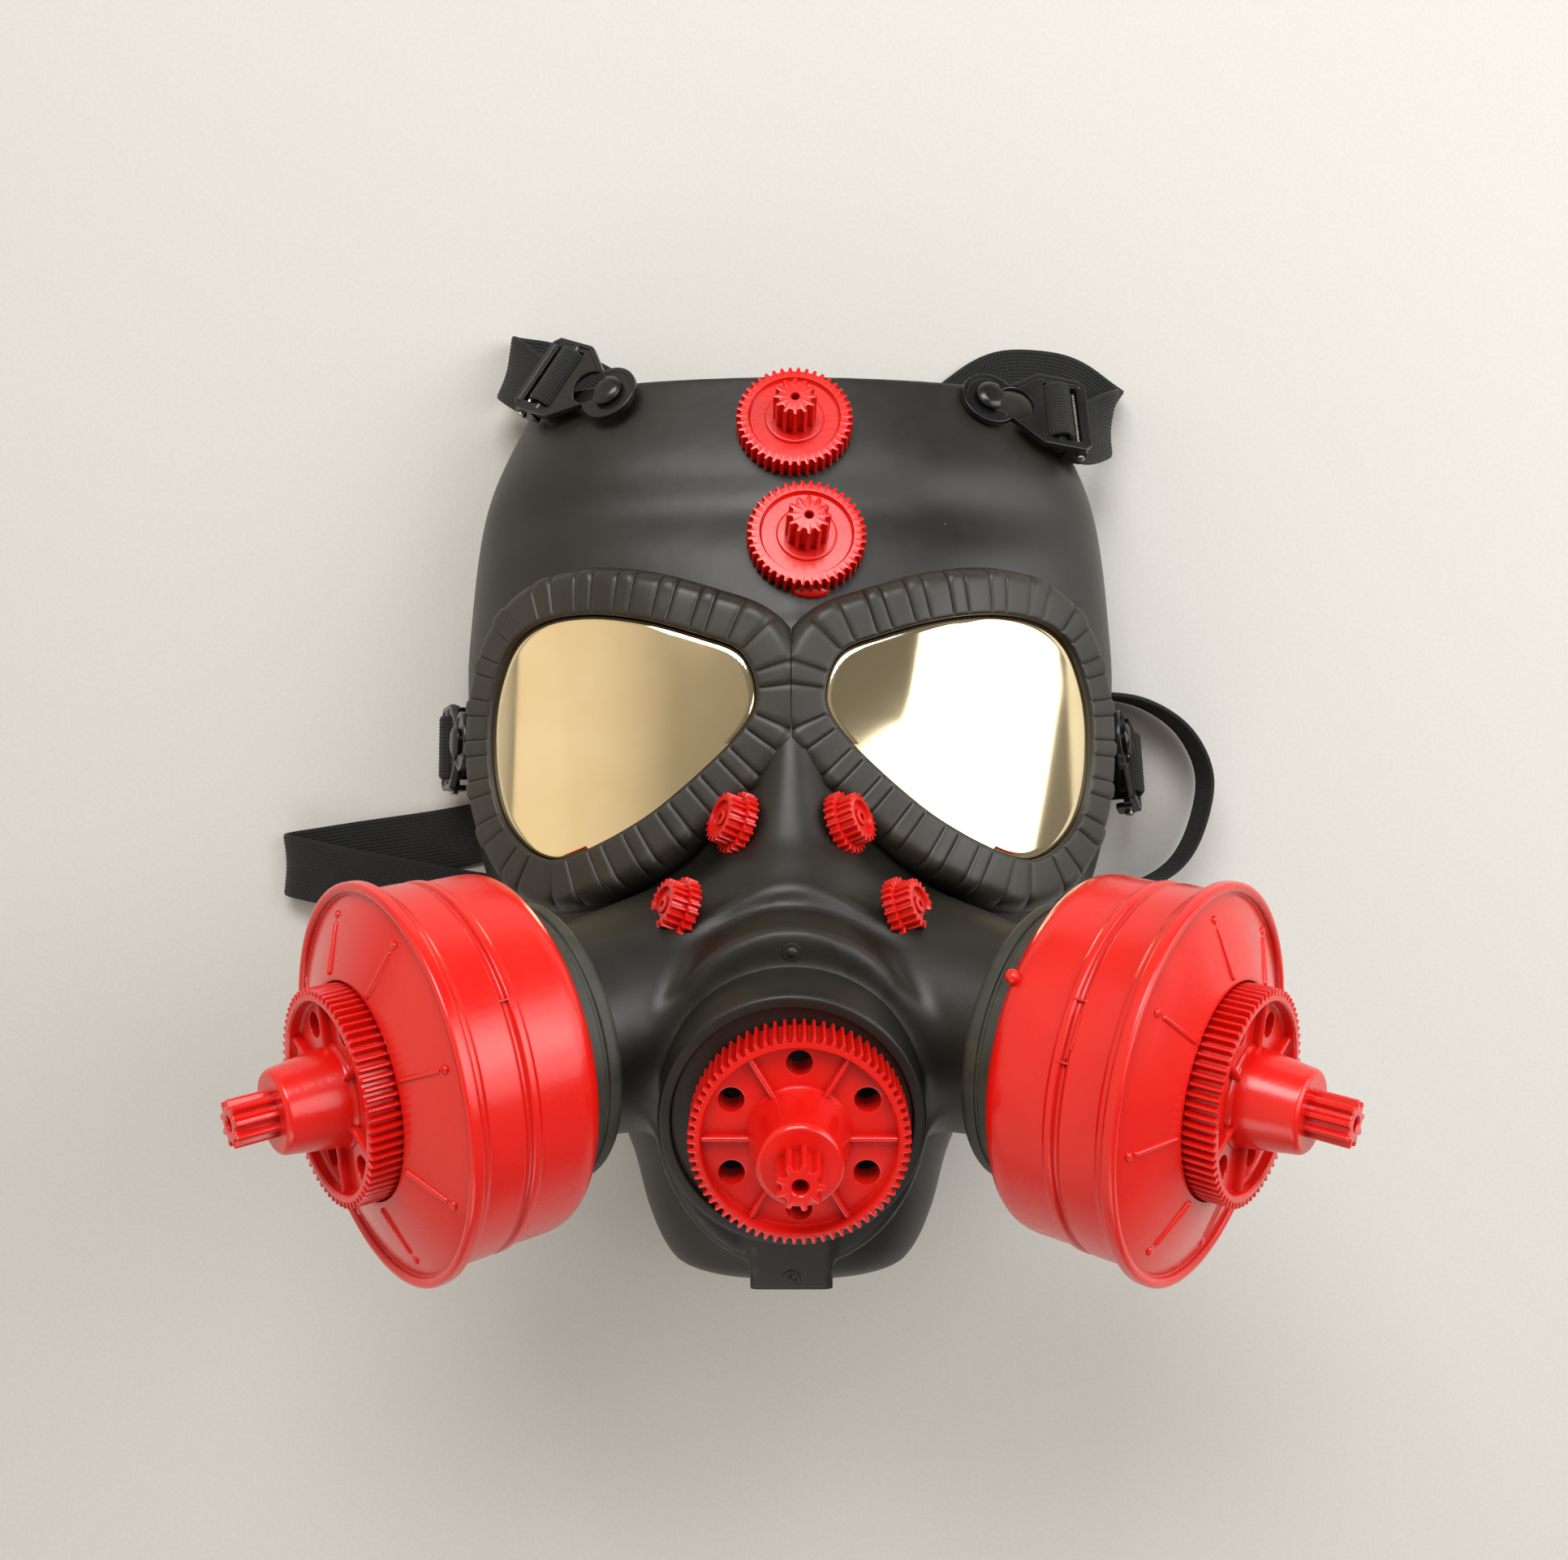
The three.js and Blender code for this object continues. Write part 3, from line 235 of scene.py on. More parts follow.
def elasticMaterial(name, look):
    material, tree, shader, place = newMaterial(name)
    patches = addNode(tree, "ShaderNodeTexNoise", {"Scale": perMetre(look["patch"]), "Detail": 4.0},
                      {"Vector": place})
    tint = addNode(tree, "ShaderNodeValToRGB", links={"Fac": patches.outputs["Fac"]})
    setRamp(tint, zip(look["tintSpan"], look["tint"]))
    tree.links.new(tint.outputs[0], shader.inputs["Base Color"])
    shader.inputs["Roughness"].default_value = look["roughness"]
    shader.inputs["Sheen Weight"].default_value = look["sheen"]
    shader.inputs["Sheen Roughness"].default_value = look["sheenRoughness"]
    along = addNode(tree, "ShaderNodeUVMap", {"uv_map": "weave"}).outputs[0]
    parts = addNode(tree, "ShaderNodeSeparateXYZ", links={0: along})
    turns = addNode(tree, "ShaderNodeMath", {
        "operation": "MULTIPLY", 1: 2 * math.pi / look["weft"],
    }, {0: parts.outputs[0]})
    weft = addNode(tree, "ShaderNodeMath", {"operation": "SINE"}, {0: turns.outputs[0]})
    threads = addNode(tree, "ShaderNodeBump", {
        "Strength": look["weftStrength"], "Distance": look["weftDepth"] * millimetre,
    }, {"Height": weft.outputs[0]})
    embossed(tree, shader, place, [(look["fuzz"], 3.0, 0.5, 0.15)], threads.outputs[0])
    return material


materials = {
    "face_plastic": mouldedMaterial("moulded black vinyl", mouldedVinyl),
    "frame_plastic": mouldedMaterial("soft frame vinyl", frameVinyl),
    "buckle_plastic": mouldedMaterial("black acetal", buckleAcetal),
    "mount": mouldedMaterial("weathered collar vinyl", collarVinyl),
    "red_paint": enamelMaterial("red enamel", redEnamel),
    "lens_mirror": metalMaterial("gold mirror film", goldMirror),
    "pin_steel": metalMaterial("drawn steel", drawnSteel),
    "strap_webbing": elasticMaterial("woven black elastic", wovenElastic),
}
print("materials made")


# Mesh helpers
def meshOf(name, points, faces, scale=millimetre):
    mesh = bpy.data.meshes.new(name)
    mesh.from_pydata((np.asarray(points) * scale).tolist(), [], [list(map(int, f)) for f in faces])
    return mesh


def objectOf(name, mesh):
    made = bpy.data.objects.new(name, mesh)
    bpy.context.scene.collection.objects.link(made)
    return made


def sliced(mesh, place, direction, **kept):
    # The mesh cut at a plane and closed again there.
    work = bmesh.new()
    work.from_mesh(mesh)
    bmesh.ops.recalc_face_normals(work, faces=work.faces)
    bmesh.ops.bisect_plane(work, geom=[*work.verts, *work.edges, *work.faces], plane_co=place,
                           plane_no=direction, **kept)
    bmesh.ops.holes_fill(work, edges=[e for e in work.edges if e.is_boundary], sides=0)
    work.to_mesh(mesh)
    work.free()
    return mesh


def shown(name, points, faces, slot, nodes=(), sharp=35.0, along=None, even=False):
    return finished(name, meshOf(name, points, faces), slot, nodes, sharp, along, even)


def finished(name, mesh, slot, nodes=(), sharp=35.0, along=None, even=False):
    work = bmesh.new()
    work.from_mesh(mesh)
    bmesh.ops.remove_doubles(work, verts=work.verts, dist=1e-7)
    bmesh.ops.dissolve_degenerate(work, edges=work.edges, dist=1e-8)
    bmesh.ops.recalc_face_normals(work, faces=work.faces)
    work.to_mesh(mesh)
    work.free()
    mesh.polygons.foreach_set("use_smooth", [True] * len(mesh.polygons))
    mesh.set_sharp_from_angle(angle=math.radians(sharp))
    mesh.materials.append(materials[slot])
    if along is not None:
        along(mesh)
    piece = objectOf(name, mesh)
    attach(piece, "root")
    if nodes:
        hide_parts(*nodes)
    if even:  # wide flat faces keep one direction beside their small rounded edges
        piece.modifiers.new("even", "WEIGHTED_NORMAL").keep_sharp = True
    return piece


def loft(rings, capStart=True, capEnd=True, around=False):
    rings = np.asarray(rings, float)
    count, size = rings.shape[:2]
    points = rings.reshape(-1, 3)
    rows = np.arange(count if around else count - 1)[:, None]
    here = rows * size
    there = ((rows + 1) % count) * size
    j = np.arange(size)[None]
    k = (j + 1) % size
    faces = np.stack([here + j, here + k, there + k, there + j], -1).reshape(-1, 4).tolist()
    for wanted, row in ((capStart, 0), (capEnd, count - 1)):
        if wanted and not around:
            hub = len(points)
            points = np.vstack([points, rings[row].mean(0)])
            first = row * size
            faces += [[first + i, first + (i + 1) % size, hub] for i in range(size)]
    return points, faces


def unit(v):
    v = np.asarray(v, float)
    return v / np.linalg.norm(v)


def aimed(place, direction, hint):
    z = unit(direction)
    hint = np.asarray(hint, float)
    x = unit(hint - z * hint.dot(z))
    return np.asarray(place, float), np.array([x, np.cross(z, x), z])


def laid(place, along, normal):
    x = unit(along)
    normal = np.asarray(normal, float)
    z = unit(normal - x * normal.dot(x))
    return np.asarray(place, float), np.array([x, np.cross(z, x), z])


def moved(points, where):
    place, axes = where
    return place + np.asarray(points, float) @ axes


def rounded(profile, steps=4):
    # Corners of (radius, height, rounding) softened by short curves.
    out = []
    for i, (r, z, soft) in enumerate(profile):
        here = np.array([r, z], float)
        if soft <= 0 or i in (0, len(profile) - 1):
            out.append(here)
            continue
        before = np.array(profile[i - 1][:2], float)
        after = np.array(profile[i + 1][:2], float)
        reach = min(soft, *(0.49 * np.linalg.norm(end - here) for end in (before, after)))
        a = here + unit(before - here) * reach
        b = here + unit(after - here) * reach
        for t in np.linspace(0, 1, steps + 1):
            out.append((1 - t) ** 2 * a + 2 * t * (1 - t) * here + t * t * b)
    return out


def turned(profile, sides=128, steps=4):
    angles = np.linspace(0, 2 * math.pi, sides, endpoint=False)
    rings = [[(r * math.cos(a), r * math.sin(a), z) for a in angles]
             for r, z in rounded(profile, steps)]
    return loft(rings)


def bar(start, end, width, height, steps=3):
    # A low rib with a rounded top from start to end, its foot sunk under the surface.
    start, end = np.asarray(start, float), np.asarray(end, float)
    along = unit(end - start)
    side = unit(np.cross([0, 0, 1], along))
    up = np.cross(along, side)
    section = [(-0.5, -1.0)]
    for a in np.linspace(math.pi, 0, 7):
        section.append((0.5 * math.cos(a), 1 - 0.5 * width / height * (1 - math.sin(a))))
    section.append((0.5, -1.0))
    rings = []
    for t, share in ((0, 0.55), (0.02, 0.85), (0.06, 1), (0.94, 1), (0.98, 0.85), (1, 0.55)):
        middle = start + (end - start) * t
        rings.append([middle + side * x * width * share + up * y * height * (share if y > 0 else 1)
                      for x, y in section])
    return loft(rings)


# Camera: above the mask at the photograph's place, looking straight down
camera = {"x": -1.8, "y": 0.0, "height": 505.0, "focal": 2000.0, "width": 1932.0, "sensor": 36.0}
eye = bpy.data.cameras.new("camera")
eye.sensor_fit = "HORIZONTAL"
eye.sensor_width = camera["sensor"]
eye.lens = camera["sensor"] * camera["focal"] / camera["width"]
eye.clip_start = 0.01
viewer = objectOf("camera", eye)
viewer.location = (
    (camera["x"] + maskShift[0]) * millimetre,
    (camera["y"] + maskShift[1]) * millimetre,
    camera["height"] * millimetre,
)
bpy.context.scene.camera = viewer


# The face: a smooth field over a grid, its zero surface taken as the mesh
face = {
    "width": 195.0, "height": 248.0, "depth": 94.0, "chinDrop": 135.0, "wall": 3.0,
    "archHeight": 25.0, "archLength": 120.0, "archCentre": 5.0,
    "creaseDepth": 2.6, "creaseLevel": 75.0, "creaseWidth": 9.0,
    "noseRise": 40.0, "noseHalfWidth": 36.0, "noseSunk": 18.0,
    "nosePower": 2.17, "lensFloor": 12.0, "browOpening": 108.0,
    "pitch": 1.3, "draftPitch": 2.2, "mostTriangles": 185000,
    "gridLow": (-102.0, -141.0, -6.0), "gridHigh": (102.0, 119.0, 152.0),
    # How far the forms run into each other, and how far their edges are rounded.
    "noseBlend": 9.0, "snoutBlend": 4.0, "neckBlend": 6.0, "tabBlend": 1.0, "stepBlend": 2.6,
    "stepEdge": 3.0, "chinEdge": 5.0, "noseEdge": 4.0, "neckEdge": 1.0, "rimEdge": 0.4,
    "browEdge": 0.8,
}
# Rows from the chin up, as in the solid: shares of the height, half width and depth.
faceRows = {
    "up": [0, 0.025, 0.07, 0.13, 0.21, 0.3, 0.39, 0.48, 0.57, 0.66, 0.74, 0.81, 0.848, 0.885, 1.0],
    "half": [0.2, 0.33, 0.4, 0.46, 0.58, 0.75, 0.9, 0.975, 1, 1, 0.985, 0.965, 0.95, 0.925, 0.8],
    "middle": [0.66, 0.62, 0.54, 0.4, 0.25, 0.12, 0.04, 0, 0, 0, 0, 0, 0, 0, 0],
    "crest": [0.09, 0.24, 0.38, 0.53, 0.69, 0.82, 0.9, 0.92, 0.9, 0.85, 0.8, 0.745, 0.715, 0.68,
              0.545],
    "keel": [0.1, 0.24, 0.38, 0.43, 0.45, 0.4, 0.3, 0.2, 0.2, 0.2, 0.2, 0.2, 0.2, 0.2, 0.2],
    "square": [2.2, 2.3, 2.3, 2.3, 2.3, 2.4, 2.5, 2.7, 2.8, 2.9, 3, 3.1, 3.1, 3.1, 2.8],
    "fall": [0, 0, 0, 0.02, 0.06, 0.12, 0.18, 0.22, 0.22, 0.22, 0.2, 0.17, 0.16, 0.15, 0.14],
}
noseRows = {
    "level": [-0.45, -0.33, -0.2, -0.1, 0.02, 0.16, 0.28],
    "half": [1, 1, 0.88, 0.62, 0.42, 0.27, 0.1],
    "rise": [0.98, 0.98, 0.97, 0.76, 0.57, 0.36, 0.05],
}
snout = {
    "tilt": 13.0, "level": -77.5, "reach": 138.5, "back": -72.0, "lowerPower": 2 / 0.86,
    "frontWall": 5.0, "seatDepth": 1.5, "vent": 20.5, "ventGap": 0.6, "ventBack": -14.0,
    "tabWidth": 20.0, "tabLow": -34.0, "tabHigh": -15.0, "tabPlace": -39.0, "tabHalf": 12.0,
}
snoutSteps = [
    {"start": 2.8, "side": 29.6, "top": 29.6, "bottom": 29.6, "lean": 0.0},
    {"start": 19.0, "side": 33.5, "top": 39.5, "bottom": 46.5, "lean": 3.2},
    {"start": 37.0, "side": 36.0, "top": 44.0, "bottom": 50.0, "lean": 2.0},
]
drum = {
    "turn": 53.0, "dip": 8.0, "x": 94.0, "y": -69.0, "z": 138.0,
    "length": 34.5, "mountLength": 10.0, "gap": 0.3,
    "neckRadius": 25.0, "neckSpread": 34.0, "neckReach": 62.0,
    "bore": 22.0, "boreFront": 6.0, "boreBack": 30.0,
}
tilt = math.radians(snout["tilt"])
snoutFrame = aimed((0, snout["level"], snout["reach"]), (0, -math.sin(tilt), math.cos(tilt)),
                   (1, 0, 0))


def drumFrame(side):
    turn, dip = math.radians(drum["turn"]), math.radians(drum["dip"])
    axis = (side * math.sin(turn) * math.cos(dip), -math.sin(dip), math.cos(turn) * math.cos(dip))
    return aimed((side * drum["x"], drum["y"], drum["z"]), axis, (0, 1, 0))


def shifted(where):
    return where[0] + maskShift, where[1]


def smoothRow(levels, values, y):
    # A curve through the rows' values with no overshoot at their steps.
    levels, values = np.asarray(levels, float), np.asarray(values, float)
    steps = np.diff(levels)
    slopes = np.diff(values) / steps
    tangent = np.zeros_like(values)
    same = slopes[1:] * slopes[:-1] > 0
    tangent[1:-1][same] = 2 / (1 / slopes[1:][same] + 1 / slopes[:-1][same])
    tangent[0], tangent[-1] = slopes[0], slopes[-1]
    y = np.clip(y, levels[0], levels[-1])
    i = np.clip(np.searchsorted(levels, y) - 1, 0, len(steps) - 1)
    t = (y - levels[i]) / steps[i]
    h = steps[i]
    return ((1 + 2 * t) * (1 - t) ** 2 * values[i] + t * (1 - t) ** 2 * h * tangent[i]
            + t * t * (3 - 2 * t) * values[i + 1] + t * t * (t - 1) * h * tangent[i + 1])


def blend(a, b, radius):
    share = np.clip(0.5 + 0.5 * (b - a) / radius, 0, 1)
    return b * (1 - share) + a * share - radius * share * (1 - share)


def cut(a, b):
    # What is in a and not in b, with the new edge rounded a little.
    return -blend(-a, b, face["rimEdge"])


def overlapOf(a, b, radius):
    return -blend(-a, -b, radius)


def evened(field, pitch):
    steep = np.sqrt(sum(g * g for g in np.gradient(field, pitch)))
    return field / np.maximum(steep, 0.25)


# The lens's outline, in shares of half its size, from the temple round.
lensShape = {
    "x": [-1.0, -0.96, -0.83, -0.58, -0.3, 0.24, 0.71, 0.96, 1.0, 0.89, 0.6, 0.19, -0.24, -0.6,
          -0.83, -0.96],
    "y": [0.04, -0.4, -0.75, -0.97, -0.96, -0.64, -0.19, 0.14, 0.39, 0.67, 0.81, 0.94, 1.0, 0.95,
          0.77, 0.42],
}
eyes = {
    "width": 74.0, "height": 64.5, "thickness": 2.0, "sink": 2.0, "ledge": 2.0, "bulge": 0.8,
    "bevel": 0.35, "bevelShare": 0.99,
    "x": 46.4, "y": 11.5, "level": 92.0, "sweep": 0.15, "curl": 0.0075, "curlStart": 30.0,
    "pitch": 0.12, "band": 10.5, "flare": 3.6, "gap": 0.3,
    "pleats": 21, "pleatStart": 0.35, "pleatHalf": 2.0, "pleatRise": 0.08, "bump": 0.34,
    "groove": 0.42, "grooveWidth": 0.3,
    # How far a foot goes down at most, and how far where there is no face under it.
    "outerFoot": (26.0, 10.0), "innerFoot": (24.0, 8.0), "footSink": 1.2, "footRounds": 6,
    "lensSides": 160, "lensMiddle": 0.04,
}


def lensOutline(dense=60):
    corners = np.column_stack([
        np.array(lensShape["x"]) * eyes["width"] / 2 - eyes["x"],
        np.array(lensShape["y"]) * eyes["height"] / 2 + eyes["y"],
    ])
    out = []
    count = len(corners)
    for i in range(count):
        a, b, c, d = (corners[(i + k) % count] for k in (-1, 0, 1, 2))
        for t in np.linspace(0, 1, dense, endpoint=False):
            out.append(0.5 * (2 * b + (c - a) * t + (2 * a - 5 * b + 4 * c - d) * t * t
                              + (3 * b - a - 3 * c + d) * t ** 3))
    return np.array(out)


outline = lensOutline()
outlineNext = np.roll(outline, -1, 0)
outlineLength = np.concatenate([[0], np.cumsum(np.linalg.norm(outlineNext - outline, axis=1))])


def onOutline(length):
    # Place and outward direction at lengths along the left lens's outline.
    length = np.mod(length, outlineLength[-1])
    closed = np.vstack([outline, outline[:1]])
    place = np.column_stack([np.interp(length, outlineLength, closed[:, k]) for k in (0, 1)])
    ahead = np.mod(length + 1.2, outlineLength[-1])
    behind = np.mod(length - 1.2, outlineLength[-1])
    run = np.column_stack([
        np.interp(ahead, outlineLength, closed[:, k]) - np.interp(behind, outlineLength, closed[:, k])
        for k in (0, 1)
    ])
    run /= np.linalg.norm(run, axis=1)[:, None]
    return place, np.column_stack([run[:, 1], -run[:, 0]])


def awayFromOutline(x, y):
    # Signed distance in the plane from the left lens's outline, negative inside.
    points = np.column_stack([x.ravel(), y.ravel()])
    coarse = outline[::12]
    nearest = np.full(len(points), 1e9)
    inside = np.zeros(len(points), bool)
    for a, b in zip(coarse, np.roll(coarse, -1, 0)):
        run = b - a
        share = np.clip(((points - a) @ run) / run.dot(run), 0, 1)
        nearest = np.minimum(nearest, np.linalg.norm(points - a - share[:, None] * run, axis=1))
        crosses = (a[1] > points[:, 1]) != (b[1] > points[:, 1])
        if run[1]:
            inside ^= crosses & (points[:, 0] < a[0] + (points[:, 1] - a[1]) * run[0] / run[1])
    return np.where(inside, -nearest, nearest).reshape(x.shape)


def framed(x, y, z, where):
    # The grid's coordinates in a frame of its own.
    place, axes = where
    return ((x - place[0]) * a[0] + (y - place[1]) * a[1] + (z - place[2]) * a[2] for a in axes)


def faceField(pitch):
    low = np.array(face["gridLow"])
    axes = [np.arange(a, b + pitch, pitch, dtype=np.float32) for a, b in zip(low, face["gridHigh"])]
    x, y, z = np.meshgrid(*axes, indexing="ij")
    levels = np.array(faceRows["up"]) * face["height"] - face["chinDrop"]
    row = {name: smoothRow(levels, faceRows[name], axes[1])[None, :, None].astype(np.float32)
           for name in faceRows if name != "up"}
    half = row["half"] * face["width"] / 2
    share = np.minimum(np.abs(x) / half, 1.0)
    dent = face["creaseDepth"] * np.exp(-((y - face["creaseLevel"]) / face["creaseWidth"]) ** 2)
    over = z - row["middle"] * face["depth"]
    crest = row["crest"] * face["depth"] * (1 - row["fall"] * share ** 1.2)
    raised = np.maximum(over + dent * (1 - share ** 4), 0) / crest
    sunk = np.maximum(-over, 0) / (row["keel"] * face["depth"])
    wide = np.abs(x) / half
    upper = (wide ** row["square"] + raised ** row["square"]) ** (1 / row["square"])
    lower = np.sqrt(wide ** 2 + sunk ** 2)
    bowl = evened((np.where(over > 0, upper, lower) - 1) * np.minimum(half, crest), pitch)
    bowl = overlapOf(bowl, -(y + face["chinDrop"]), face["chinEdge"])

    levels = np.array(noseRows["level"]) * face["chinDrop"]
    wideness = smoothRow(levels, noseRows["half"], axes[1])[None, :, None] * face["noseHalfWidth"]
    rise = smoothRow(levels, noseRows["rise"], axes[1])[None, :, None]
    foot = face["depth"] - face["noseRise"]
    tall = np.maximum(z - foot, 0) / (face["noseSunk"] + face["noseRise"] * rise)
    ridge = np.sqrt((x / wideness) ** 2 + tall ** face["nosePower"]) - 1
    ridge = evened(ridge * wideness, pitch)
    first, last = (noseRows["level"][i] * face["chinDrop"] for i in (0, -1))
    ridge = overlapOf(ridge, np.maximum(y - last, first - y), face["noseEdge"])
    outer = blend(bowl, ridge, face["noseBlend"])

    sx, sy, sz = framed(x, y, z, snoutFrame)
    body = None
    for step in snoutSteps:
        reach = np.where(sy > 0, step["top"], step["bottom"])
        front = step["start"] - step["lean"] * np.clip(-sy / step["bottom"], 0, 1)
        power = np.where((sy < 0) & (step["bottom"] > step["top"]), snout["lowerPower"], 2.0)
        tube = np.sqrt((sx / step["side"]) ** 2 + (np.abs(sy) / reach) ** power) - 1
        tube = evened(tube * step["side"], pitch)
        tube = overlapOf(tube, sz + front, face["stepEdge"])
        tube = np.maximum(tube, snout["back"] - sz)
        body = tube if body is None else blend(body, tube, face["stepBlend"])
    tabMiddle = (snout["tabLow"] + snout["tabHigh"]) / 2
    tab = np.maximum(np.abs(sx) - snout["tabWidth"] / 2,
                     np.abs(sy - snout["tabPlace"]) - snout["tabHalf"])
    tab = np.maximum(tab, np.abs(sz - tabMiddle) - (snout["tabHigh"] - snout["tabLow"]) / 2)
    outer = blend(outer, body, face["snoutBlend"])
    outer = blend(outer, tab, face["tabBlend"])

    seat = drum["length"] + drum["mountLength"] + 2 * drum["gap"]
    spread = (drum["neckSpread"] - drum["neckRadius"]) / drum["neckReach"]
    bores = None
    for side in (-1, 1):
        cx, cy, cz = framed(x, y, z, drumFrame(side))
        away, beyond = np.sqrt(cx * cx + cy * cy), cz + seat
        cone = (away - drum["neckRadius"] + beyond * spread) / math.hypot(1, spread)
        cone = overlapOf(cone, beyond, face["neckEdge"])
        cone = np.maximum(cone, -beyond - drum["neckReach"])
        outer = blend(outer, cone, face["neckBlend"])
        bore = np.maximum(beyond - drum["boreFront"], -beyond - drum["boreBack"])
        bore = np.maximum(away - drum["bore"], bore)
        bores = bore if bores is None else np.minimum(bores, bore)

    hollow = np.maximum(outer + face["wall"], sz + snout["frontWall"])
    hollow = np.minimum(hollow, np.maximum(outer + face["wall"], face["browOpening"] - y))
    shell = np.maximum(outer, -hollow)
    ring = np.sqrt(sx * sx + sy * sy)
    shell = cut(shell, np.maximum(ring - snout["vent"] - snout["ventGap"], snout["ventBack"] - sz))
    shell = cut(shell, bores)
    across = awayFromOutline(*np.meshgrid(-np.abs(axes[0]), axes[1], indexing="ij"))[:, :, None]
    shell = cut(shell, np.maximum(across + eyes["ledge"], face["lensFloor"] - z))
    ear = np.sqrt(((y - face["archCentre"]) / (face["archLength"] / 2)) ** 2
                  + (z / face["archHeight"]) ** 2) - 1
    shell = cut(shell, evened(ear * face["archHeight"], pitch))
    shell = overlapOf(shell, -z, face["rimEdge"])
    return overlapOf(shell, y - (face["height"] - face["chinDrop"]), face["browEdge"]), low


def surfaceOf(field, low, pitch):
    # One vertex in each cell that the surface crosses, one quad across each crossed edge.
    inside = field < 0
    shape = np.array(field.shape) - 1
    corner = [tuple((c >> k) & 1 for k in range(3)) for c in range(8)]
    view = lambda grid, c: grid[tuple(slice(c[k], c[k] + shape[k]) for k in range(3))]
    count = sum(view(inside, c).astype(np.int8) for c in corner)
    cells = np.argwhere((count > 0) & (count < 8))
    number = np.full(shape, -1, np.int32)
    number[tuple(cells.T)] = np.arange(len(cells))
    total = np.zeros((len(cells), 3))
    hits = np.zeros(len(cells))
    for a in corner:
        for k in range(3):
            if a[k]:
                continue
            b = tuple(1 if i == k else a[i] for i in range(3))
            fa = field[tuple((cells + a).T)]
            fb = field[tuple((cells + b).T)]
            crossed = (fa < 0) != (fb < 0)
            share = np.where(crossed, fa / np.where(crossed, fa - fb, 1), 0)
            spot = np.array(a) + share[:, None] * (np.array(b) - np.array(a))
            total[crossed] += spot[crossed]
            hits[crossed] += 1
    points = (cells + total / hits[:, None]) * pitch + low
    faces = []
    for k in range(3):
        lower = [slice(None)] * 3
        upper = [slice(None)] * 3
        lower[k], upper[k] = slice(0, -1), slice(1, None)
        crossed = np.argwhere(inside[tuple(lower)] != inside[tuple(upper)])
        p, q = (k + 1) % 3, (k + 2) % 3
        fits = (crossed[:, p] > 0) & (crossed[:, q] > 0)
        fits &= (crossed[:, p] < shape[p]) & (crossed[:, q] < shape[q])
        crossed = crossed[fits]
        flip = ~inside[tuple(crossed.T)]
        quad = []
        for dp, dq in ((0, 0), (-1, 0), (-1, -1), (0, -1)):
            cell = crossed.copy()
            cell[:, p] += dp
            cell[:, q] += dq
            quad.append(number[tuple(cell.T)])
        quad = np.stack(quad, 1)
        quad[flip] = quad[flip][:, ::-1]
        faces.append(quad)
    return points, np.vstack(faces)


def settled(points, field, low, pitch, rounds=3):
    # Points drawn onto the zero surface along the field's slope, which is taken close by, because
    # a wall is only a few cells thick.
    near = 0.35 * pitch
    limit = np.array(field.shape) - 1.001

    def sample(grid, at):
        at = np.clip((at - low) / pitch, 0, limit)
        base = at.astype(int)
        part = at - base
        out = 0
        for c in range(8):
            bits = [(c >> k) & 1 for k in range(3)]
            weight = np.prod([part[:, k] if bits[k] else 1 - part[:, k] for k in range(3)], axis=0)
            out = out + weight * grid[tuple((base + bits).T)]
        return out
    for _ in range(rounds):
        slope = np.column_stack([
            (sample(field, points + step) - sample(field, points - step)) / (2 * near)
            for step in np.eye(3) * near
        ])
        value = sample(field, points)
        step = value[:, None] * slope / np.maximum((slope ** 2).sum(1), 0.3)[:, None]
        points = points - np.clip(step, -0.5 * pitch, 0.5 * pitch)
    return points


def evenMesh(points, faces, rounds, strength=0.5):
    # Each point drawn towards the middle of its neighbours.
    edges = np.vstack([faces[:, [i, (i + 1) % 4]] for i in range(4)])
    for _ in range(rounds):
        total = np.zeros_like(points)
        for k in range(3):
            total[:, k] = np.bincount(edges[:, 0], points[edges[:, 1], k], len(points))
        count = np.bincount(edges[:, 0], minlength=len(points))
        points = points + strength * (total / count[:, None] - points)
    return points


def makeShell():
    pitch = face["pitch"]
    field, low = faceField(pitch)
    points, faces = surfaceOf(field, low, pitch)
    points = settled(evenMesh(points, faces, 2), field, low, pitch)
    mesh = meshOf("moulded_face", points + maskShift, faces)
    most = face["mostTriangles"]
    if 2 * len(faces) > most:
        draft = objectOf("draft", mesh)
        thinner = draft.modifiers.new("thinner", "DECIMATE")
        thinner.ratio = most / (2 * len(faces))
        thinned = draft.evaluated_get(bpy.context.evaluated_depsgraph_get())
        mesh = bpy.data.meshes.new_from_object(thinned)
        bpy.data.objects.remove(draft)
        mesh.name = "moulded_face"
    return finished("moulded_face", mesh, "face_plastic", ["face_shell"], sharp=180)


shell = makeShell()
print("shell made:", len(shell.data.polygons), "faces")

shellTree = BVHTree.FromPolygons([v.co / millimetre for v in shell.data.vertices],
                                 [p.vertices for p in shell.data.polygons])


def groundUnder(point, down=(0, 0, -1), reach=200.0):
    # Depth below a point at which the shell's skin lies, or None.
    return shellTree.ray_cast(Vector(point), Vector(down), reach)[3]


# Eye frames: a flat pleated band round each lens, its outer wall coming down onto the face
def surfaceHeight(x, y):
    curled = np.maximum(np.abs(x) - eyes["curlStart"], 0)
    return (eyes["level"] - eyes["pitch"] * (y - eyes["y"]) - eyes["sweep"] * np.abs(x)
            - eyes["curl"] * curled ** 2)


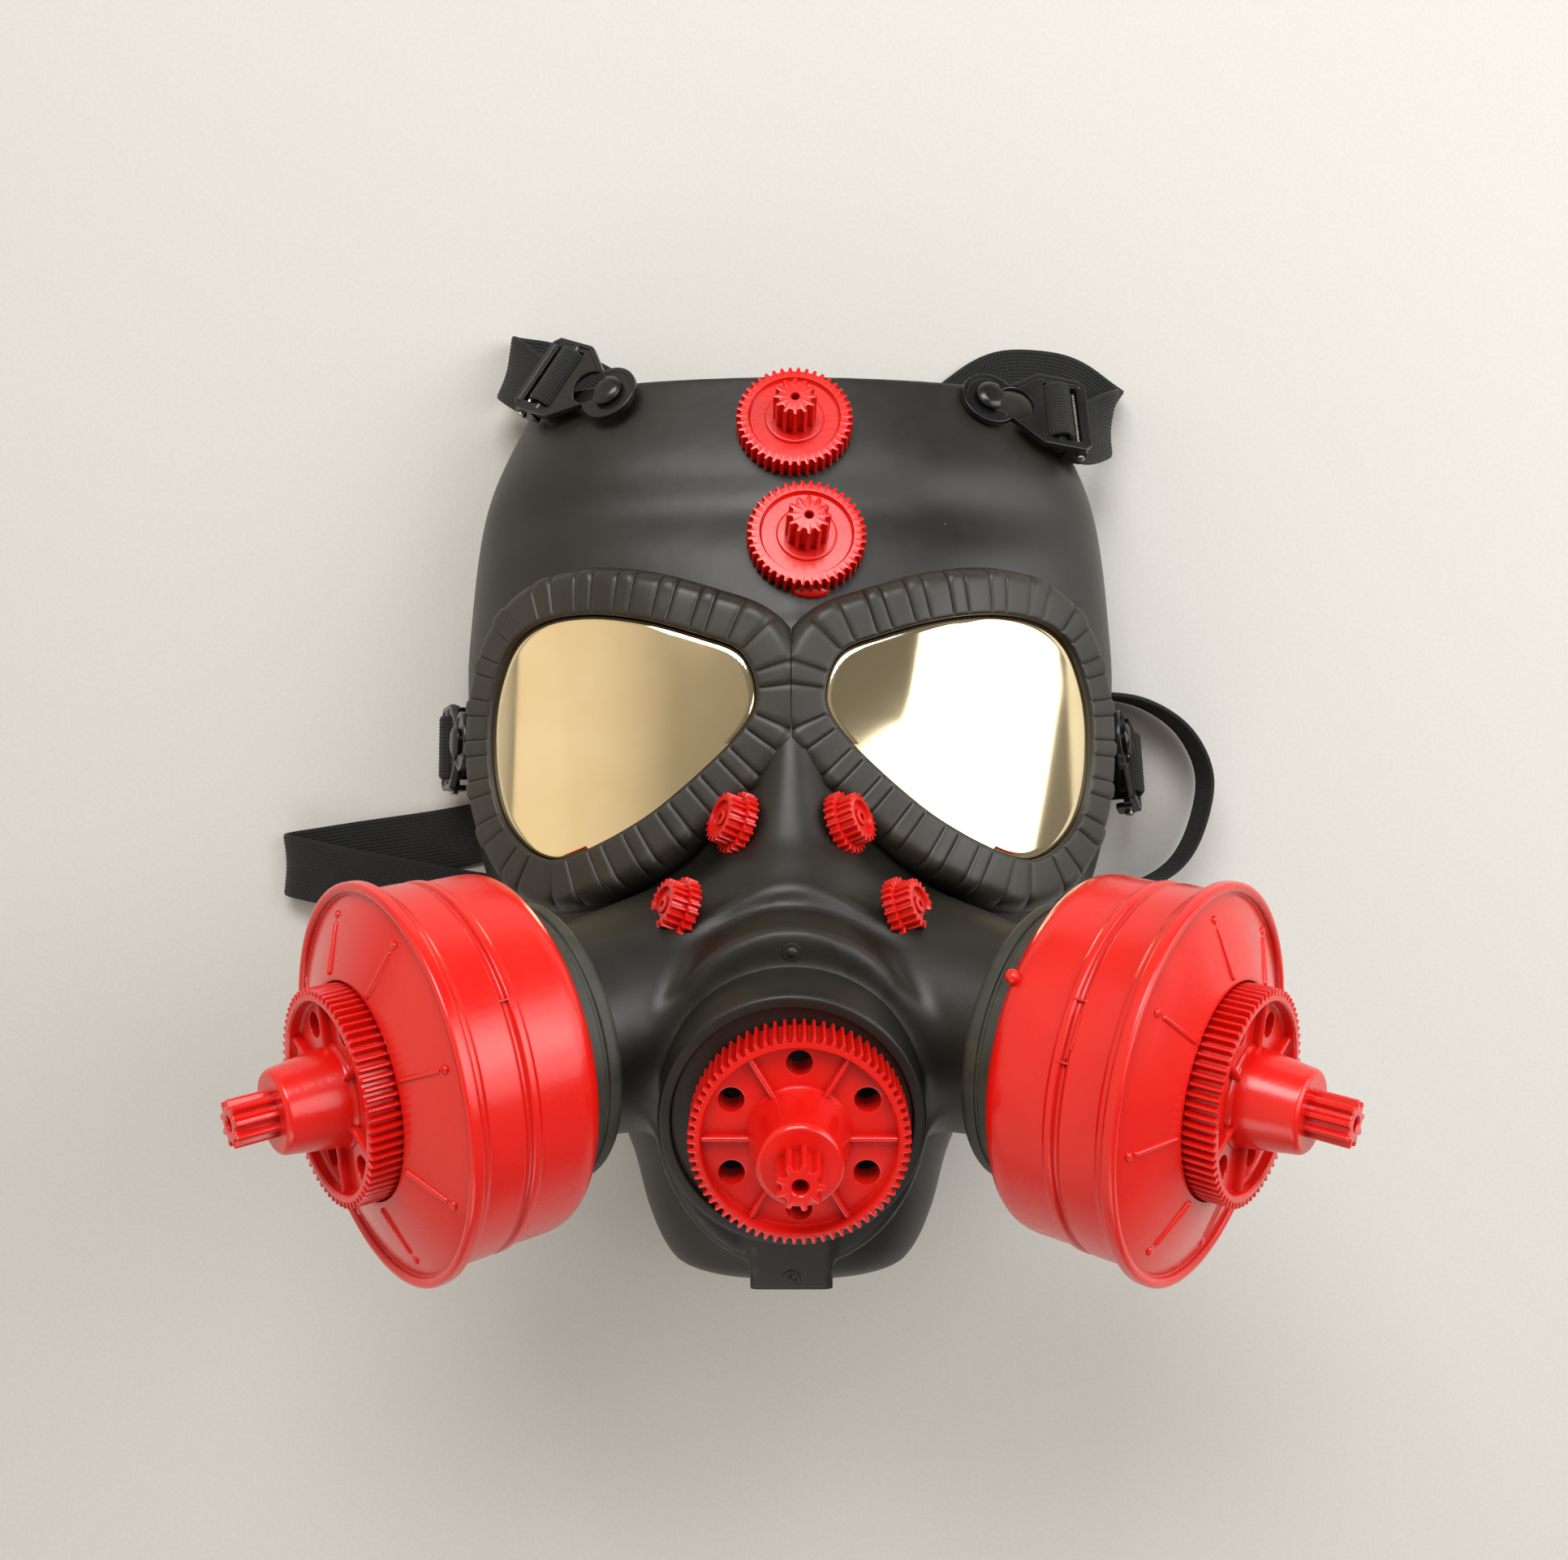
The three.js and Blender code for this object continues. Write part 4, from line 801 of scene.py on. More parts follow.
def ringFrames(lengths):
    place, out = onOutline(lengths)
    base = np.column_stack([place, surfaceHeight(place[:, 0], place[:, 1])])
    over = place + out
    away = np.column_stack([over, surfaceHeight(over[:, 0], over[:, 1])]) - base
    away /= np.linalg.norm(away, axis=1)[:, None]
    side = np.column_stack([-out[:, 1], out[:, 0]])
    ahead = place + side
    along = np.column_stack([side, surfaceHeight(ahead[:, 0], ahead[:, 1]) - base[:, 2]])
    normal = np.cross(away, along)
    normal /= np.linalg.norm(normal, axis=1)[:, None]
    normal *= np.sign(normal[:, 2])[:, None]
    return base, away, normal


def pleatColumns():
    # Lengths along the outline, close together at each pleat's two grooves.
    total = outlineLength[-1]
    space = total / eyes["pleats"]
    half, wide = eyes["pleatHalf"], eyes["grooveWidth"]
    near = [-half - wide * 1.8, -half - wide, -half - wide * 0.3, -half + wide * 0.5, -half + 0.9,
            -0.4, 0.4]
    near = near + [-v for v in near[4::-1]]
    far = list(np.linspace(half + wide * 1.8, space - half - wide * 1.8, 7)[1:-1])
    columns, offsets = [], []
    for i in range(eyes["pleats"]):
        for offset in near + far:
            columns.append((i + eyes["pleatStart"]) * space + offset)
            offsets.append(offset if offset < space / 2 else offset - space)
    return np.array(columns), np.array(offsets)


def footed(row, most, free):
    # A row of points let down into the face under them, with a hidden edge that runs smoothly.
    foot = []
    for point in row:
        depth = groundUnder(point + maskShift)
        foot.append(point - [0, 0, free if depth is None else min(depth, most) + eyes["footSink"]])
    foot = np.array(foot)
    for _ in range(eyes["footRounds"]):
        beside = (np.roll(foot[:, 2], 1) + np.roll(foot[:, 2], -1)) / 2
        foot[:, 2] = np.minimum(foot[:, 2], beside)
    return foot


def makeEyeFrame(name, side, node):
    lengths, offsets = pleatColumns()
    base, away, normal = ringFrames(lengths)
    seat = -eyes["sink"] - eyes["thickness"] - eyes["gap"]
    band, flare = eyes["band"], eyes["flare"]
    # Section rows: offset from the lens's edge, height, and how much of the pleat's grooves and
    # of the small bump at its end show.
    section = [
        (-eyes["ledge"] + 0.4, seat, 0, 0), (eyes["gap"], seat, 0, 0), (eyes["gap"], -0.7, 0, 0),
        (eyes["gap"] + 0.2, -0.2, 0, 0), (eyes["gap"] + 0.7, 0.05, 0.6, 0), (1.6, 0.1, 1, 0),
        (3.5, 0.12, 1, 0), (6, 0.12, 1, 0), (8, 0.08, 1, 0), (band - 1.5, 0.02, 1, 0.25),
        (band - 0.5, -0.1, 1, 0.75), (band + flare * 0.1, -0.45, 1, 1),
        (band + flare * 0.34, -1.1, 0.9, 1), (band + flare * 0.58, -2.1, 0.6, 0.7),
        (band + flare * 0.78, -3.4, 0.3, 0.25), (band + flare * 0.92, -4.9, 0, 0),
        (band + flare, -6.6, 0, 0), (band + flare, -8.6, 0, 0),
    ]
    near = np.abs(offsets)
    half, wide = eyes["pleatHalf"], eyes["grooveWidth"]
    plateau = np.clip((half + 0.1 - near) / 0.4, 0, 1)
    mound = np.clip(1 - (near / (half * 0.95)) ** 2, 0, 1) ** 0.6
    notch = np.exp(-((near - half - wide * 0.3) / (wide * 0.7)) ** 2) * eyes["groove"]
    rings = []
    for offset, height, pleat, swell in section:
        relief = plateau * eyes["pleatRise"] * pleat + mound * eyes["bump"] * swell - notch * pleat
        rings.append(base + away * offset + normal * (height + relief)[:, None]
                     + away * (relief * (1 if offset > band else 0))[:, None])
    rings = np.array(rings)
    rings[:, :, 0] *= -side
    outer = footed(rings[-1], *eyes["outerFoot"])
    inner = footed(rings[0], *eyes["innerFoot"])
    middle = (rings[-1] + outer) / 2
    points, faces = loft(np.concatenate([rings, [middle], [outer], [inner]]), around=True)
    # The two frames meet over the nose, where each is cut off flat.
    seam = [(maskShift[0] + side * eyes["gap"] / 2) * millimetre, 0, 0]
    mesh = sliced(meshOf(name, points + maskShift, faces), seam, (-side, 0, 0), clear_outer=True)
    return finished(name, mesh, "frame_plastic", [node], sharp=50)


def makeLens(name, side, node):
    lengths = np.linspace(0, outlineLength[-1], eyes["lensSides"], endpoint=False)
    base, _, normal = ringFrames(lengths)
    centre = np.array([-eyes["x"], eyes["y"]])
    edge = base - normal * eyes["sink"]
    front = np.append(np.linspace(eyes["lensMiddle"], eyes["bevelShare"], 20), 1)
    back = np.linspace(1, eyes["lensMiddle"], 8)
    rings = []
    for layer, shares in enumerate((front, back)):
        for share in shares:
            flat = centre + (edge[:, :2] - centre) * share
            tall = surfaceHeight(flat[:, 0], flat[:, 1]) - eyes["sink"]
            tall = tall + eyes["bulge"] * (1 - share ** 2) - layer * eyes["thickness"]
            if layer == 0 and share == 1:  # the polished edge that catches a line of light
                tall = tall - eyes["bevel"]
            rings.append(np.column_stack([flat, tall]))
    rings = np.array(rings)
    rings[:, :, 0] *= -side
    points, faces = loft(rings)
    return shown(name, points + maskShift, faces, "lens_mirror", [node], sharp=60)


for word, side in (("left", -1), ("right", 1)):
    makeEyeFrame("pleated_frame_" + word, side, "eye_frame_" + word)
    makeLens("mirror_lens_" + word, side, "lens_" + word)
print("eyes made")


# Bodies that are joined and cut, for the wheels, canisters and buckles
def combined(base, added=(), taken=()):
    # One closed body: parts joined to the base, then others taken away from it.
    drafts = []
    for points, faces in (base, *added, *taken):
        mesh = meshOf("draft", points, faces, 1)
        work = bmesh.new()
        work.from_mesh(mesh)
        bmesh.ops.recalc_face_normals(work, faces=work.faces)
        work.to_mesh(mesh)
        work.free()
        drafts.append(objectOf("draft", mesh))
    for number, tool in enumerate(drafts[1:]):
        step = drafts[0].modifiers.new("step", "BOOLEAN")
        step.solver = "MANIFOLD"
        step.operation = "UNION" if number < len(added) else "DIFFERENCE"
        step.object = tool
    whole = drafts[0].evaluated_get(bpy.context.evaluated_depsgraph_get()).to_mesh()
    points = np.array([v.co for v in whole.vertices])
    faces = [list(p.vertices) for p in whole.polygons]
    for draft in drafts:
        mesh = draft.data
        bpy.data.objects.remove(draft)
        bpy.data.meshes.remove(mesh)
    return points, faces


def offsetLoop(loop, offset):
    # A closed outline, counter-clockwise, grown by the offset with its corners mitred.
    loop = np.asarray(loop, float)
    run = np.roll(loop, -1, 0) - loop
    run /= np.linalg.norm(run, axis=1)[:, None]
    out = np.column_stack([run[:, 1], -run[:, 0]])
    both = out + np.roll(out, 1, 0)
    return loop + both * (offset / np.maximum((both ** 2).sum(1) / 2, 0.5))[:, None]


def slab(loop, low, high, soft):
    # A plate between two levels whose upper and lower edges are rounded.
    levels = [(low, -soft), (low + 0.3 * soft, -0.3 * soft), (low + soft, 0),
              (high - soft, 0), (high - 0.3 * soft, -0.3 * soft), (high, -soft)]
    return stacked(loop, levels)


def hole(loop, low, high, soft):
    # The tool that cuts an outline through a plate and rounds the edges it leaves.
    levels = [(low - 1, soft), (low, soft), (low + 0.3 * soft, 0.3 * soft), (low + soft, 0),
              (high - soft, 0), (high - 0.3 * soft, 0.3 * soft), (high, soft), (high + 1, soft)]
    return stacked(loop, levels)


def stacked(loop, levels):
    return loft([np.column_stack([offsetLoop(loop, offset), np.full(len(loop), z)])
                 for z, offset in levels])


def circle(radius, x=0.0, y=0.0, sides=48):
    angles = np.linspace(0, 2 * math.pi, sides, endpoint=False)
    return np.column_stack([x + radius * np.cos(angles), y + radius * np.sin(angles)])


def arc(radius, x, y, start, end, steps):
    angles = np.radians(np.linspace(start, end, steps))
    return [(x + radius * math.cos(a), y + radius * math.sin(a)) for a in angles]


def toothedLoop(teeth, tip, root, broad=1.0):
    # Rounded teeth: shares of a tooth's turn and of its height, mirrored about its middle.
    flank = [(0.0, 1.0), (0.12, 0.97), (0.19, 0.78), (0.27, 0.16), (0.36, 0.0)]
    pattern = [(-s, h) for s, h in flank[:0:-1]] + flank
    loop = []
    for i in range(teeth):
        for share, height in pattern:
            angle = 2 * math.pi * (i + share * broad) / teeth
            radius = root + (tip - root) * height
            loop.append((radius * math.cos(angle), radius * math.sin(angle)))
    return loop


def turnedAbout(points, degrees):
    c, s = math.cos(math.radians(degrees)), math.sin(math.radians(degrees))
    points = np.asarray(points, float)
    return np.column_stack([points[:, 0] * c - points[:, 1] * s,
                            points[:, 0] * s + points[:, 1] * c, points[:, 2]])


def around(part, count, first=0.0):
    # Copies of a part spread evenly about the axis.
    points, faces = part
    return [(turnedAbout(points, 360 * (i + first) / count), faces) for i in range(count)]


def raised(part, x=0.0, y=0.0, z=0.0):
    return np.asarray(part[0]) + [x, y, z], part[1]


def lying(part, x, z):
    # A part made upright, laid along the width of a buckle.
    points = np.asarray(part[0])
    return np.column_stack([points[:, 0] + x, -points[:, 2], points[:, 1] + z]), part[1]


def placed(name, part, where, slot, node, sharp=32.0):
    return shown(name, moved(part[0], where), part[1], slot, [node], sharp, even=True)


# Canisters: a turned drum with a rolled rim, a bead and groove round its middle and a
# recessed cone with thin ribs
canister = {
    "ribs": 8, "ribStart": 26.6, "ribEnd": 38.2, "ribWidth": 1.3, "ribHeight": 0.75, "ribTurn": 0.3,
    "dot": 1.1, "dotGap": 1.4, "seatLevel": 0.8, "sides": 144, "bead": 43.9, "markRise": 0.16,
    "coneTop": 5.2, "coneFoot": -1.7, "coneInner": 25.9, "coneOuter": 44.0,
    # Small raised marks left by the mould: turn in degrees, level, length and width.
    "marks": [(62, -15.2, 3.4, 0.5), (71, -14.0, 0.5, 8.0), (80, -15.2, 3.4, 0.5),
              (180, -15.2, 3.4, 0.5), (188, -14.0, 0.5, 8.0), (298, -15.2, 3.4, 0.5)],
}
drumProfile = [
    (0, -42, 0), (15, -42, 0.8), (15, -34.5, 0.4), (39.6, -34.5, 0.5), (42.6, -32.6, 2.2),
    (43.2, -29.5, 1.2), (43.2, -18.2, 0.4), (43.9, -17.7, 0.3), (43.9, -16.2, 0.3),
    (42.9, -15.6, 0.3),
    (42.9, -14.8, 0.3), (43.9, -14.1, 0.4), (43.9, -5.6, 0.5), (44.5, -5.1, 0.4), (44.5, -3.7, 0.5),
    (46.5, -3.3, 0.8), (46.5, -0.4, 1.0), (45.2, 0.0, 0.7), (44.2, -0.5, 0.4), (44.0, -1.7, 0.5),
    (36.0, 1.55, 2.0), (25.9, 5.2, 0.4), (25.1, 5.2, 0.4), (25.1, 0.8, 0.3), (0, 0.8, 0),
]


def coneSpot(radius):
    # A place on the recessed cone, at a distance from its middle.
    share = (radius - canister["coneInner"]) / (canister["coneOuter"] - canister["coneInner"])
    return radius, 0, canister["coneTop"] + share * (canister["coneFoot"] - canister["coneTop"])


def makeDrum():
    look = canister
    body = turned(drumProfile, look["sides"], 3)
    start, end = look["ribStart"], look["ribEnd"]
    rib = bar(coneSpot(start), coneSpot(end), look["ribWidth"], look["ribHeight"])
    dot = turned([(0, -1, 0), (look["dot"], -1, 0.1), (look["dot"], 0.55, 0.5), (0, 0.7, 0)], 16, 3)
    dot = raised(dot, *coneSpot(end + look["dotGap"]))
    marks = []
    for degrees, level, long, wide in look["marks"]:
        w, h = wide / 2, long / 2
        points, faces = slab([(-w, -h), (w, -h), (w, h), (-w, h)], -1.0, look["markRise"], 0.12)
        upright = np.column_stack([points[:, 2] + look["bead"], points[:, 0], points[:, 1] + level])
        marks.append((turnedAbout(upright, degrees), faces))
    ribs = around(rib, look["ribs"], look["ribTurn"]) + around(dot, look["ribs"], look["ribTurn"])
    return combined(body, ribs + marks)


# A small lump of the same plastic is left on the back edge of the right canister.
nub = {"level": -32.4, "reach": 42.6, "radius": 1.7, "length": 2.6, "turn": 60.0}
mount = {"radius": 34.0, "bore": 15.3, "low": -44.8, "high": -34.8}


def makeCollar():
    low, high, wide = mount["low"], mount["high"], mount["radius"]
    body = turned([(0, low, 0), (wide - 0.8, low, 0.6), (wide, low + 1.2, 0.6), (wide, -41.2, 0.3),
                   (wide - 0.7, -40.9, 0.2), (wide - 0.7, -40.2, 0.2), (wide, -39.9, 0.3),
                   (wide, high - 0.8, 0.5), (wide - 0.6, high, 0.4), (0, high, 0)], 128, 3)
    return combined(body, taken=[hole(circle(mount["bore"], sides=64), low, high, 0.4)])


drumBody, collarBody = makeDrum(), makeCollar()
for word, side in (("left", -1), ("right", 1)):
    where = shifted(drumFrame(side))
    placed("painted_canister_" + word, drumBody, where, "red_paint", "canister_" + word)
    collar = placed("filter_collar_" + word, collarBody, where, "face_plastic",
                    "filter_mount_" + word)
    collar.data.materials[0] = materials["mount"]
lump = turned([(0, -2, 0), (nub["radius"], -2, 0), (nub["radius"], nub["length"] - 1, 0.6),
               (nub["radius"] * 0.6, nub["length"], 0.5), (0, nub["length"], 0)], 20, 3)
turn = math.radians(nub["turn"])
spoke = (math.cos(turn), math.sin(turn), 0)
nubFrame = aimed(np.array(spoke) * nub["reach"] + [0, 0, nub["level"]], spoke, (0, 0, 1))
shown("canister_nub", moved(moved(lump[0], nubFrame), shifted(drumFrame(1))), lump[1], "red_paint")
print("canisters made")

# The muzzle's round cap with a shallow seat for its wheel, and two gate marks of the moulding
cap = {
    "radius": 30.5, "foot": -19.8, "seat": 27.4, "seatDepth": 1.5, "vent": 20.5, "ventDepth": 13.8,
    "wall": 2.2, "ventWall": 1.6, "back": -4.2,
}
gate = {"radius": 2.3, "rise": 0.35, "pip": 0.75, "pipRise": 0.7}

rim = [(cap["vent"], -cap["ventDepth"], 0), (cap["vent"], -cap["seatDepth"], 0.5),
       (cap["seat"], -cap["seatDepth"], 0.4), (cap["seat"] + 0.1, 0, 0.5), (cap["radius"], 0, 1.1),
       (cap["radius"] + 0.2, cap["foot"], 0), (cap["radius"] - cap["wall"], cap["foot"], 0),
       (cap["radius"] - cap["wall"], cap["back"], 0.5),
       (cap["vent"] + cap["ventWall"], cap["back"], 0.5),
       (cap["vent"] + cap["ventWall"], -cap["ventDepth"], 0), (cap["vent"], -cap["ventDepth"], 0)]
points, faces = loft([[(r * math.cos(a), r * math.sin(a), z)
                       for a in np.linspace(0, 2 * math.pi, 160, endpoint=False)]
                      for r, z in rounded(rim)[:-1]], around=True)
shown("muzzle_cap", moved(points, shifted(snoutFrame)), faces, "face_plastic", sharp=32, even=True)

button = turned([(0, -1, 0), (gate["radius"], -1, 0), (gate["radius"], gate["rise"] - 0.1, 0.2),
                 (gate["pip"] + 0.5, gate["rise"] * 0.6, 0.3), (gate["pip"], gate["pipRise"], 0.3),
                 (0, gate["pipRise"] + 0.1, 0)], 32, 3)
for name, level in (("gate_mark_collar", 34.0), ("gate_mark_chin", -47.5)):
    start = moved([(0, level, 30)], shifted(snoutFrame))[0]
    down = -snoutFrame[1][2]
    spot = start + down * groundUnder(start, down)
    shown(name, moved(button[0], aimed(spot, -down, (1, 0, 0))), button[1], "face_plastic",
          sharp=32, even=True)

# Wheels: the big ones with a hub and a pinion, flat ones on the brow, small ones by the nose
bigWheel = {
    "teeth": 70, "tip": 24.8, "root": 23.3, "width": 11.0, "rim": 21.8, "web": 8.0, "soft": 0.22,
    "hubBase": 12.2, "hubTop": 9.4, "hubHeight": 23.0, "pinionTeeth": 9, "pinionTip": 5.4,
    "pinionRoot": 3.9, "pinionTop": 32.5, "bore": 1.75, "holes": 6, "hole": 2.9, "circle": 17.4,
    "ribs": 6, "ribWidth": 1.3, "ribHeight": 2.0, "seatGap": 0.3, "snoutShift": 1.6,
}


def makeBigWheel():
    look = bigWheel
    web, width, top = look["web"], look["width"], look["hubHeight"]
    rim = slab(toothedLoop(look["teeth"], look["tip"], look["root"]), 0, width, look["soft"])
    well = turned([(0, web, 0), (look["rim"] - 0.5, web, 0), (look["rim"], web + 0.5, 0.3),
                   (look["rim"], width - 0.4, 0.2), (look["rim"] + 0.4, width, 0.2),
                   (look["rim"] + 0.4, width + 1, 0), (0, width + 1, 0)], 128, 3)
    opening = raised(hole(circle(look["hole"], sides=32), 0, web, 0.35), look["circle"])
    hub = turned([(0, web - 2, 0), (look["hubBase"], web - 2, 0), (look["hubBase"], web + 0.2, 0.3),
                  (look["hubBase"] - 0.7, web + 0.9, 0.6), (look["hubTop"] + 0.15, top - 0.8, 0.4),
                  (look["hubTop"] - 0.6, top, 0.4), (0, top, 0)], 96, 3)
    pinion = slab(toothedLoop(look["pinionTeeth"], look["pinionTip"], look["pinionRoot"]),
                  top - 2, look["pinionTop"], 0.35)
    inner, outer = look["hubBase"] * 0.8, look["rim"] + 0.5
    rib = bar((inner, 0, web), (outer, 0, web), look["ribWidth"], look["ribHeight"])
    wide, end = look["bore"], look["pinionTop"]
    bore = turned([(0, top - 4, 0), (wide, top - 4, 0), (wide, end - 0.4, 0.1),
                   (wide + 0.4, end, 0.1), (wide + 0.5, end + 1, 0), (0, end + 1, 0)], 32, 2)
    wheel = combined(rim, taken=[well, *around(opening, look["holes"], 0.5)])
    return combined(wheel, [hub, pinion, *around(rib, look["ribs"])], [bore])


def lifted(where, x=0.0, z=0.0):
    place, axes = where
    return place + axes[0] * x + axes[2] * z, axes


wheelBody = makeBigWheel()
for word, side in (("left", -1), ("right", 1)):
    seat = lifted(shifted(drumFrame(side)), z=canister["seatLevel"] + bigWheel["seatGap"])
    placed("toothed_hub_" + word, wheelBody, seat, "red_paint", "canister_wheel_" + word)
seat = lifted(shifted(snoutFrame), bigWheel["snoutShift"], bigWheel["seatGap"] - snout["seatDepth"])
placed("toothed_hub_snout", wheelBody, seat, "red_paint", "snout_wheel")

browWheel = {
    "teeth": 42, "tip": 16.0, "root": 14.7, "width": 5.6, "rim": 12.4, "recess": 1.2, "soft": 0.25,
    "foot": 8.2, "pinionTeeth": 12, "pinionTip": 5.9, "pinionRoot": 4.4, "top": 14.6, "bore": 1.1,
}
noseWheel = {
    "teeth": 24, "tip": 8.3, "root": 7.2, "width": 2.8, "frontTeeth": 20, "frontTip": 6.6,
    "frontRoot": 5.6, "top": 6.8, "recess": 1.0, "rim": 4.2, "bore": 0.9, "boss": 2.2, "soft": 0.22,
}


def makeBrowWheel():
    look = browWheel
    width, floor = look["width"], look["width"] - look["recess"]
    rim = slab(toothedLoop(look["teeth"], look["tip"], look["root"]), 0, width, look["soft"])
    well = turned([(0, floor, 0), (look["rim"] - 0.4, floor, 0), (look["rim"], floor + 0.4, 0.2),
                   (look["rim"] + 0.3, width, 0.1), (look["rim"] + 0.3, width + 1, 0),
                   (0, width + 1, 0)], 96, 2)
    foot = turned([(0, floor - 1, 0), (look["foot"], floor - 1, 0), (look["foot"], floor + 0.5, 0.3),
                   (look["foot"] - 0.4, floor + 0.8, 0.3), (0, floor + 0.8, 0)], 64, 2)
    pinion = slab(toothedLoop(look["pinionTeeth"], look["pinionTip"], look["pinionRoot"]),
                  floor - 1, look["top"], 0.3)
    wide, end = look["bore"], look["top"]
    bore = turned([(0, floor, 0), (wide, floor, 0), (wide, end - 0.3, 0.1), (wide + 0.3, end, 0.1),
                   (wide + 0.4, end + 1, 0), (0, end + 1, 0)], 32, 2)
    return combined(combined(rim, taken=[well]), [foot, pinion], [bore])


def makeNoseWheel():
    look = noseWheel
    top, floor = look["top"], look["top"] - look["recess"]
    back = slab(toothedLoop(look["teeth"], look["tip"], look["root"]), 0, look["width"], look["soft"])
    front = slab(toothedLoop(look["frontTeeth"], look["frontTip"], look["frontRoot"]),
                 look["width"] - 1, top, look["soft"])
    well = turned([(0, floor, 0), (look["rim"], floor, 0), (look["rim"] + 0.3, top, 0.1),
                   (look["rim"] + 0.3, top + 1, 0), (0, top + 1, 0)], 48, 2)
    boss = turned([(0, floor - 1, 0), (look["boss"], floor - 1, 0), (look["boss"], top - 0.2, 0.3),
                   (0, top - 0.2, 0)], 32, 2)
    bore = turned([(0, look["width"], 0), (look["bore"], look["width"], 0), (look["bore"], top + 1, 0),
                   (0, top + 1, 0)], 24, 2)
    return combined(combined(back, [front], [well]), [boss], [bore])


def trimmed(part, where, spread=5.0, above=60.0, under=1.4):
    # A glued wheel ends just under the face that it is glued to.
    place = where[0]
    skin = []
    for x, y in ((-1, -1), (1, -1), (1, 1), (-1, 1)):
        start = place + np.array([x * spread, y * spread, above])
        skin.append(start - [0, 0, groundUnder(start)])
    skin = np.array(skin)
    across = unit(np.cross(skin[2] - skin[0], skin[3] - skin[1]))
    centre = skin.mean(0) - across * under
    slope = where[1] @ across
    level = (centre - place) @ across
    mesh = sliced(meshOf("draft", *part, 1), slope * level, slope, dist=1e-4, clear_inner=True)
    kept = np.array([v.co for v in mesh.vertices]), [list(p.vertices) for p in mesh.polygons]
    bpy.data.meshes.remove(mesh)
    return kept


# Where each small wheel is glued: its middle, a line across it and its axis.
gluedWheels = {
    "brow_wheel_upper": [(15.76, 96.38, 57.70), (0.9999, -0.0052, -0.0126), (0.0136, 0.3832, 0.9236)],
    "brow_wheel_lower": [(18.76, 63.08, 69.14), (0.9986, -0.0195, -0.0492), (0.0530, 0.3673, 0.9286)],
}
noseWheelSpots = {
    "upper_left": (2.26, -12.22, 93.18), "upper_right": (27.26, -12.22, 93.15),
    "lower_left": (-11.44, -33.22, 105.34), "lower_right": (40.96, -33.22, 105.34),
}
for word, spot in noseWheelSpots.items():
    side = -1 if word.endswith("left") else 1
    gluedWheels["nose_wheel_" + word] = [spot, (-0.3020 * side, 0.9397, -0.1606),
                                         (0.8297 * side, 0.3420, 0.4412)]
browBody, noseBody = makeBrowWheel(), makeNoseWheel()
for name, (place, along, up) in gluedWheels.items():
    where = laid(place, along, up)
    body = trimmed(browBody if name.startswith("brow") else noseBody, where)
    placed("glued_" + name, body, where, "red_paint", name)

# A bead of glue, painted over, has squeezed out under the lower brow wheel.
bead = {"across": 1.0, "down": -14.3, "radius": 5.4, "narrow": 0.46}
blob = turned([(0, -1.5, 0), (bead["radius"], -1.5, 0), (bead["radius"], 0.8, 0.8),
               (bead["radius"] * 0.6, 1.9, 0.8), (0, 2.3, 0)], 40, 4)
blob = blob[0] * [1, bead["narrow"], 1] + [bead["across"], bead["down"], 0], blob[1]
shown("glue_bead", moved(blob[0], laid(*gluedWheels["brow_wheel_lower"])), blob[1], "red_paint")
print("wheels made")

# Buckles: a plate with a keyhole, a bar for the strap and a flange at each side for the pin
buckle = {
    "thickness": 2.0, "lift": 1.2, "end": 8.6, "half": 12.6, "shoulder": 15.0, "length": 30.5,
    "soft": 0.45, "pocket": 0.4, "border": 1.5, "corner": 2.5, "key": 5.4, "keyPlace": 8.0,
    "keyOpening": 138.2, "slot": 3.6, "bar": 2.1, "barPlace": 21.5,
    "window": (17.0, 27.5), "windowHalf": 9.75, "flange": (23.0, 30.0), "flangeLow": -3.8,
    "flangeThick": 1.6, "pin": 1.3, "pinPlace": 28.0, "pinLevel": -0.4, "pinReach": 13.6,
    "peg": 3.0, "pegFoot": -6.0, "head": 4.8, "headLow": 3.5, "headHigh": 5.3, "headCut": 1.8,
}
buckleFrames = {
    "brow_left": [(-35.43, 107.04, 46.22), (-0.7662, 0.3411, -0.5446), (-0.3915, 0.4244, 0.8165)],
    "brow_right": [(70.89, 106.48, 41.79), (0.9587, -0.1177, -0.2588), (0.2840, 0.4427, 0.8505)],
    "side_left": [(-77.88, 10.33, 35.70), (-0.3595, -0.0651, -0.9309), (-0.9332, 0.0251, 0.3586)],
    "side_right": [(108.07, 10.60, 35.86), (0.3393, -0.3217, -0.8840), (0.9407, 0.1160, 0.3188)],
}


def rectangle(left, right, low, high, corner=0.5):
    loop = []
    for x, y, start in ((right, high, 0), (left, high, 90), (left, low, 180), (right, low, 270)):
        inX = x - corner if x == right else x + corner
        inY = y - corner if y == high else y + corner
        loop += arc(corner, inX, inY, start, start + 90, 4)
    return loop


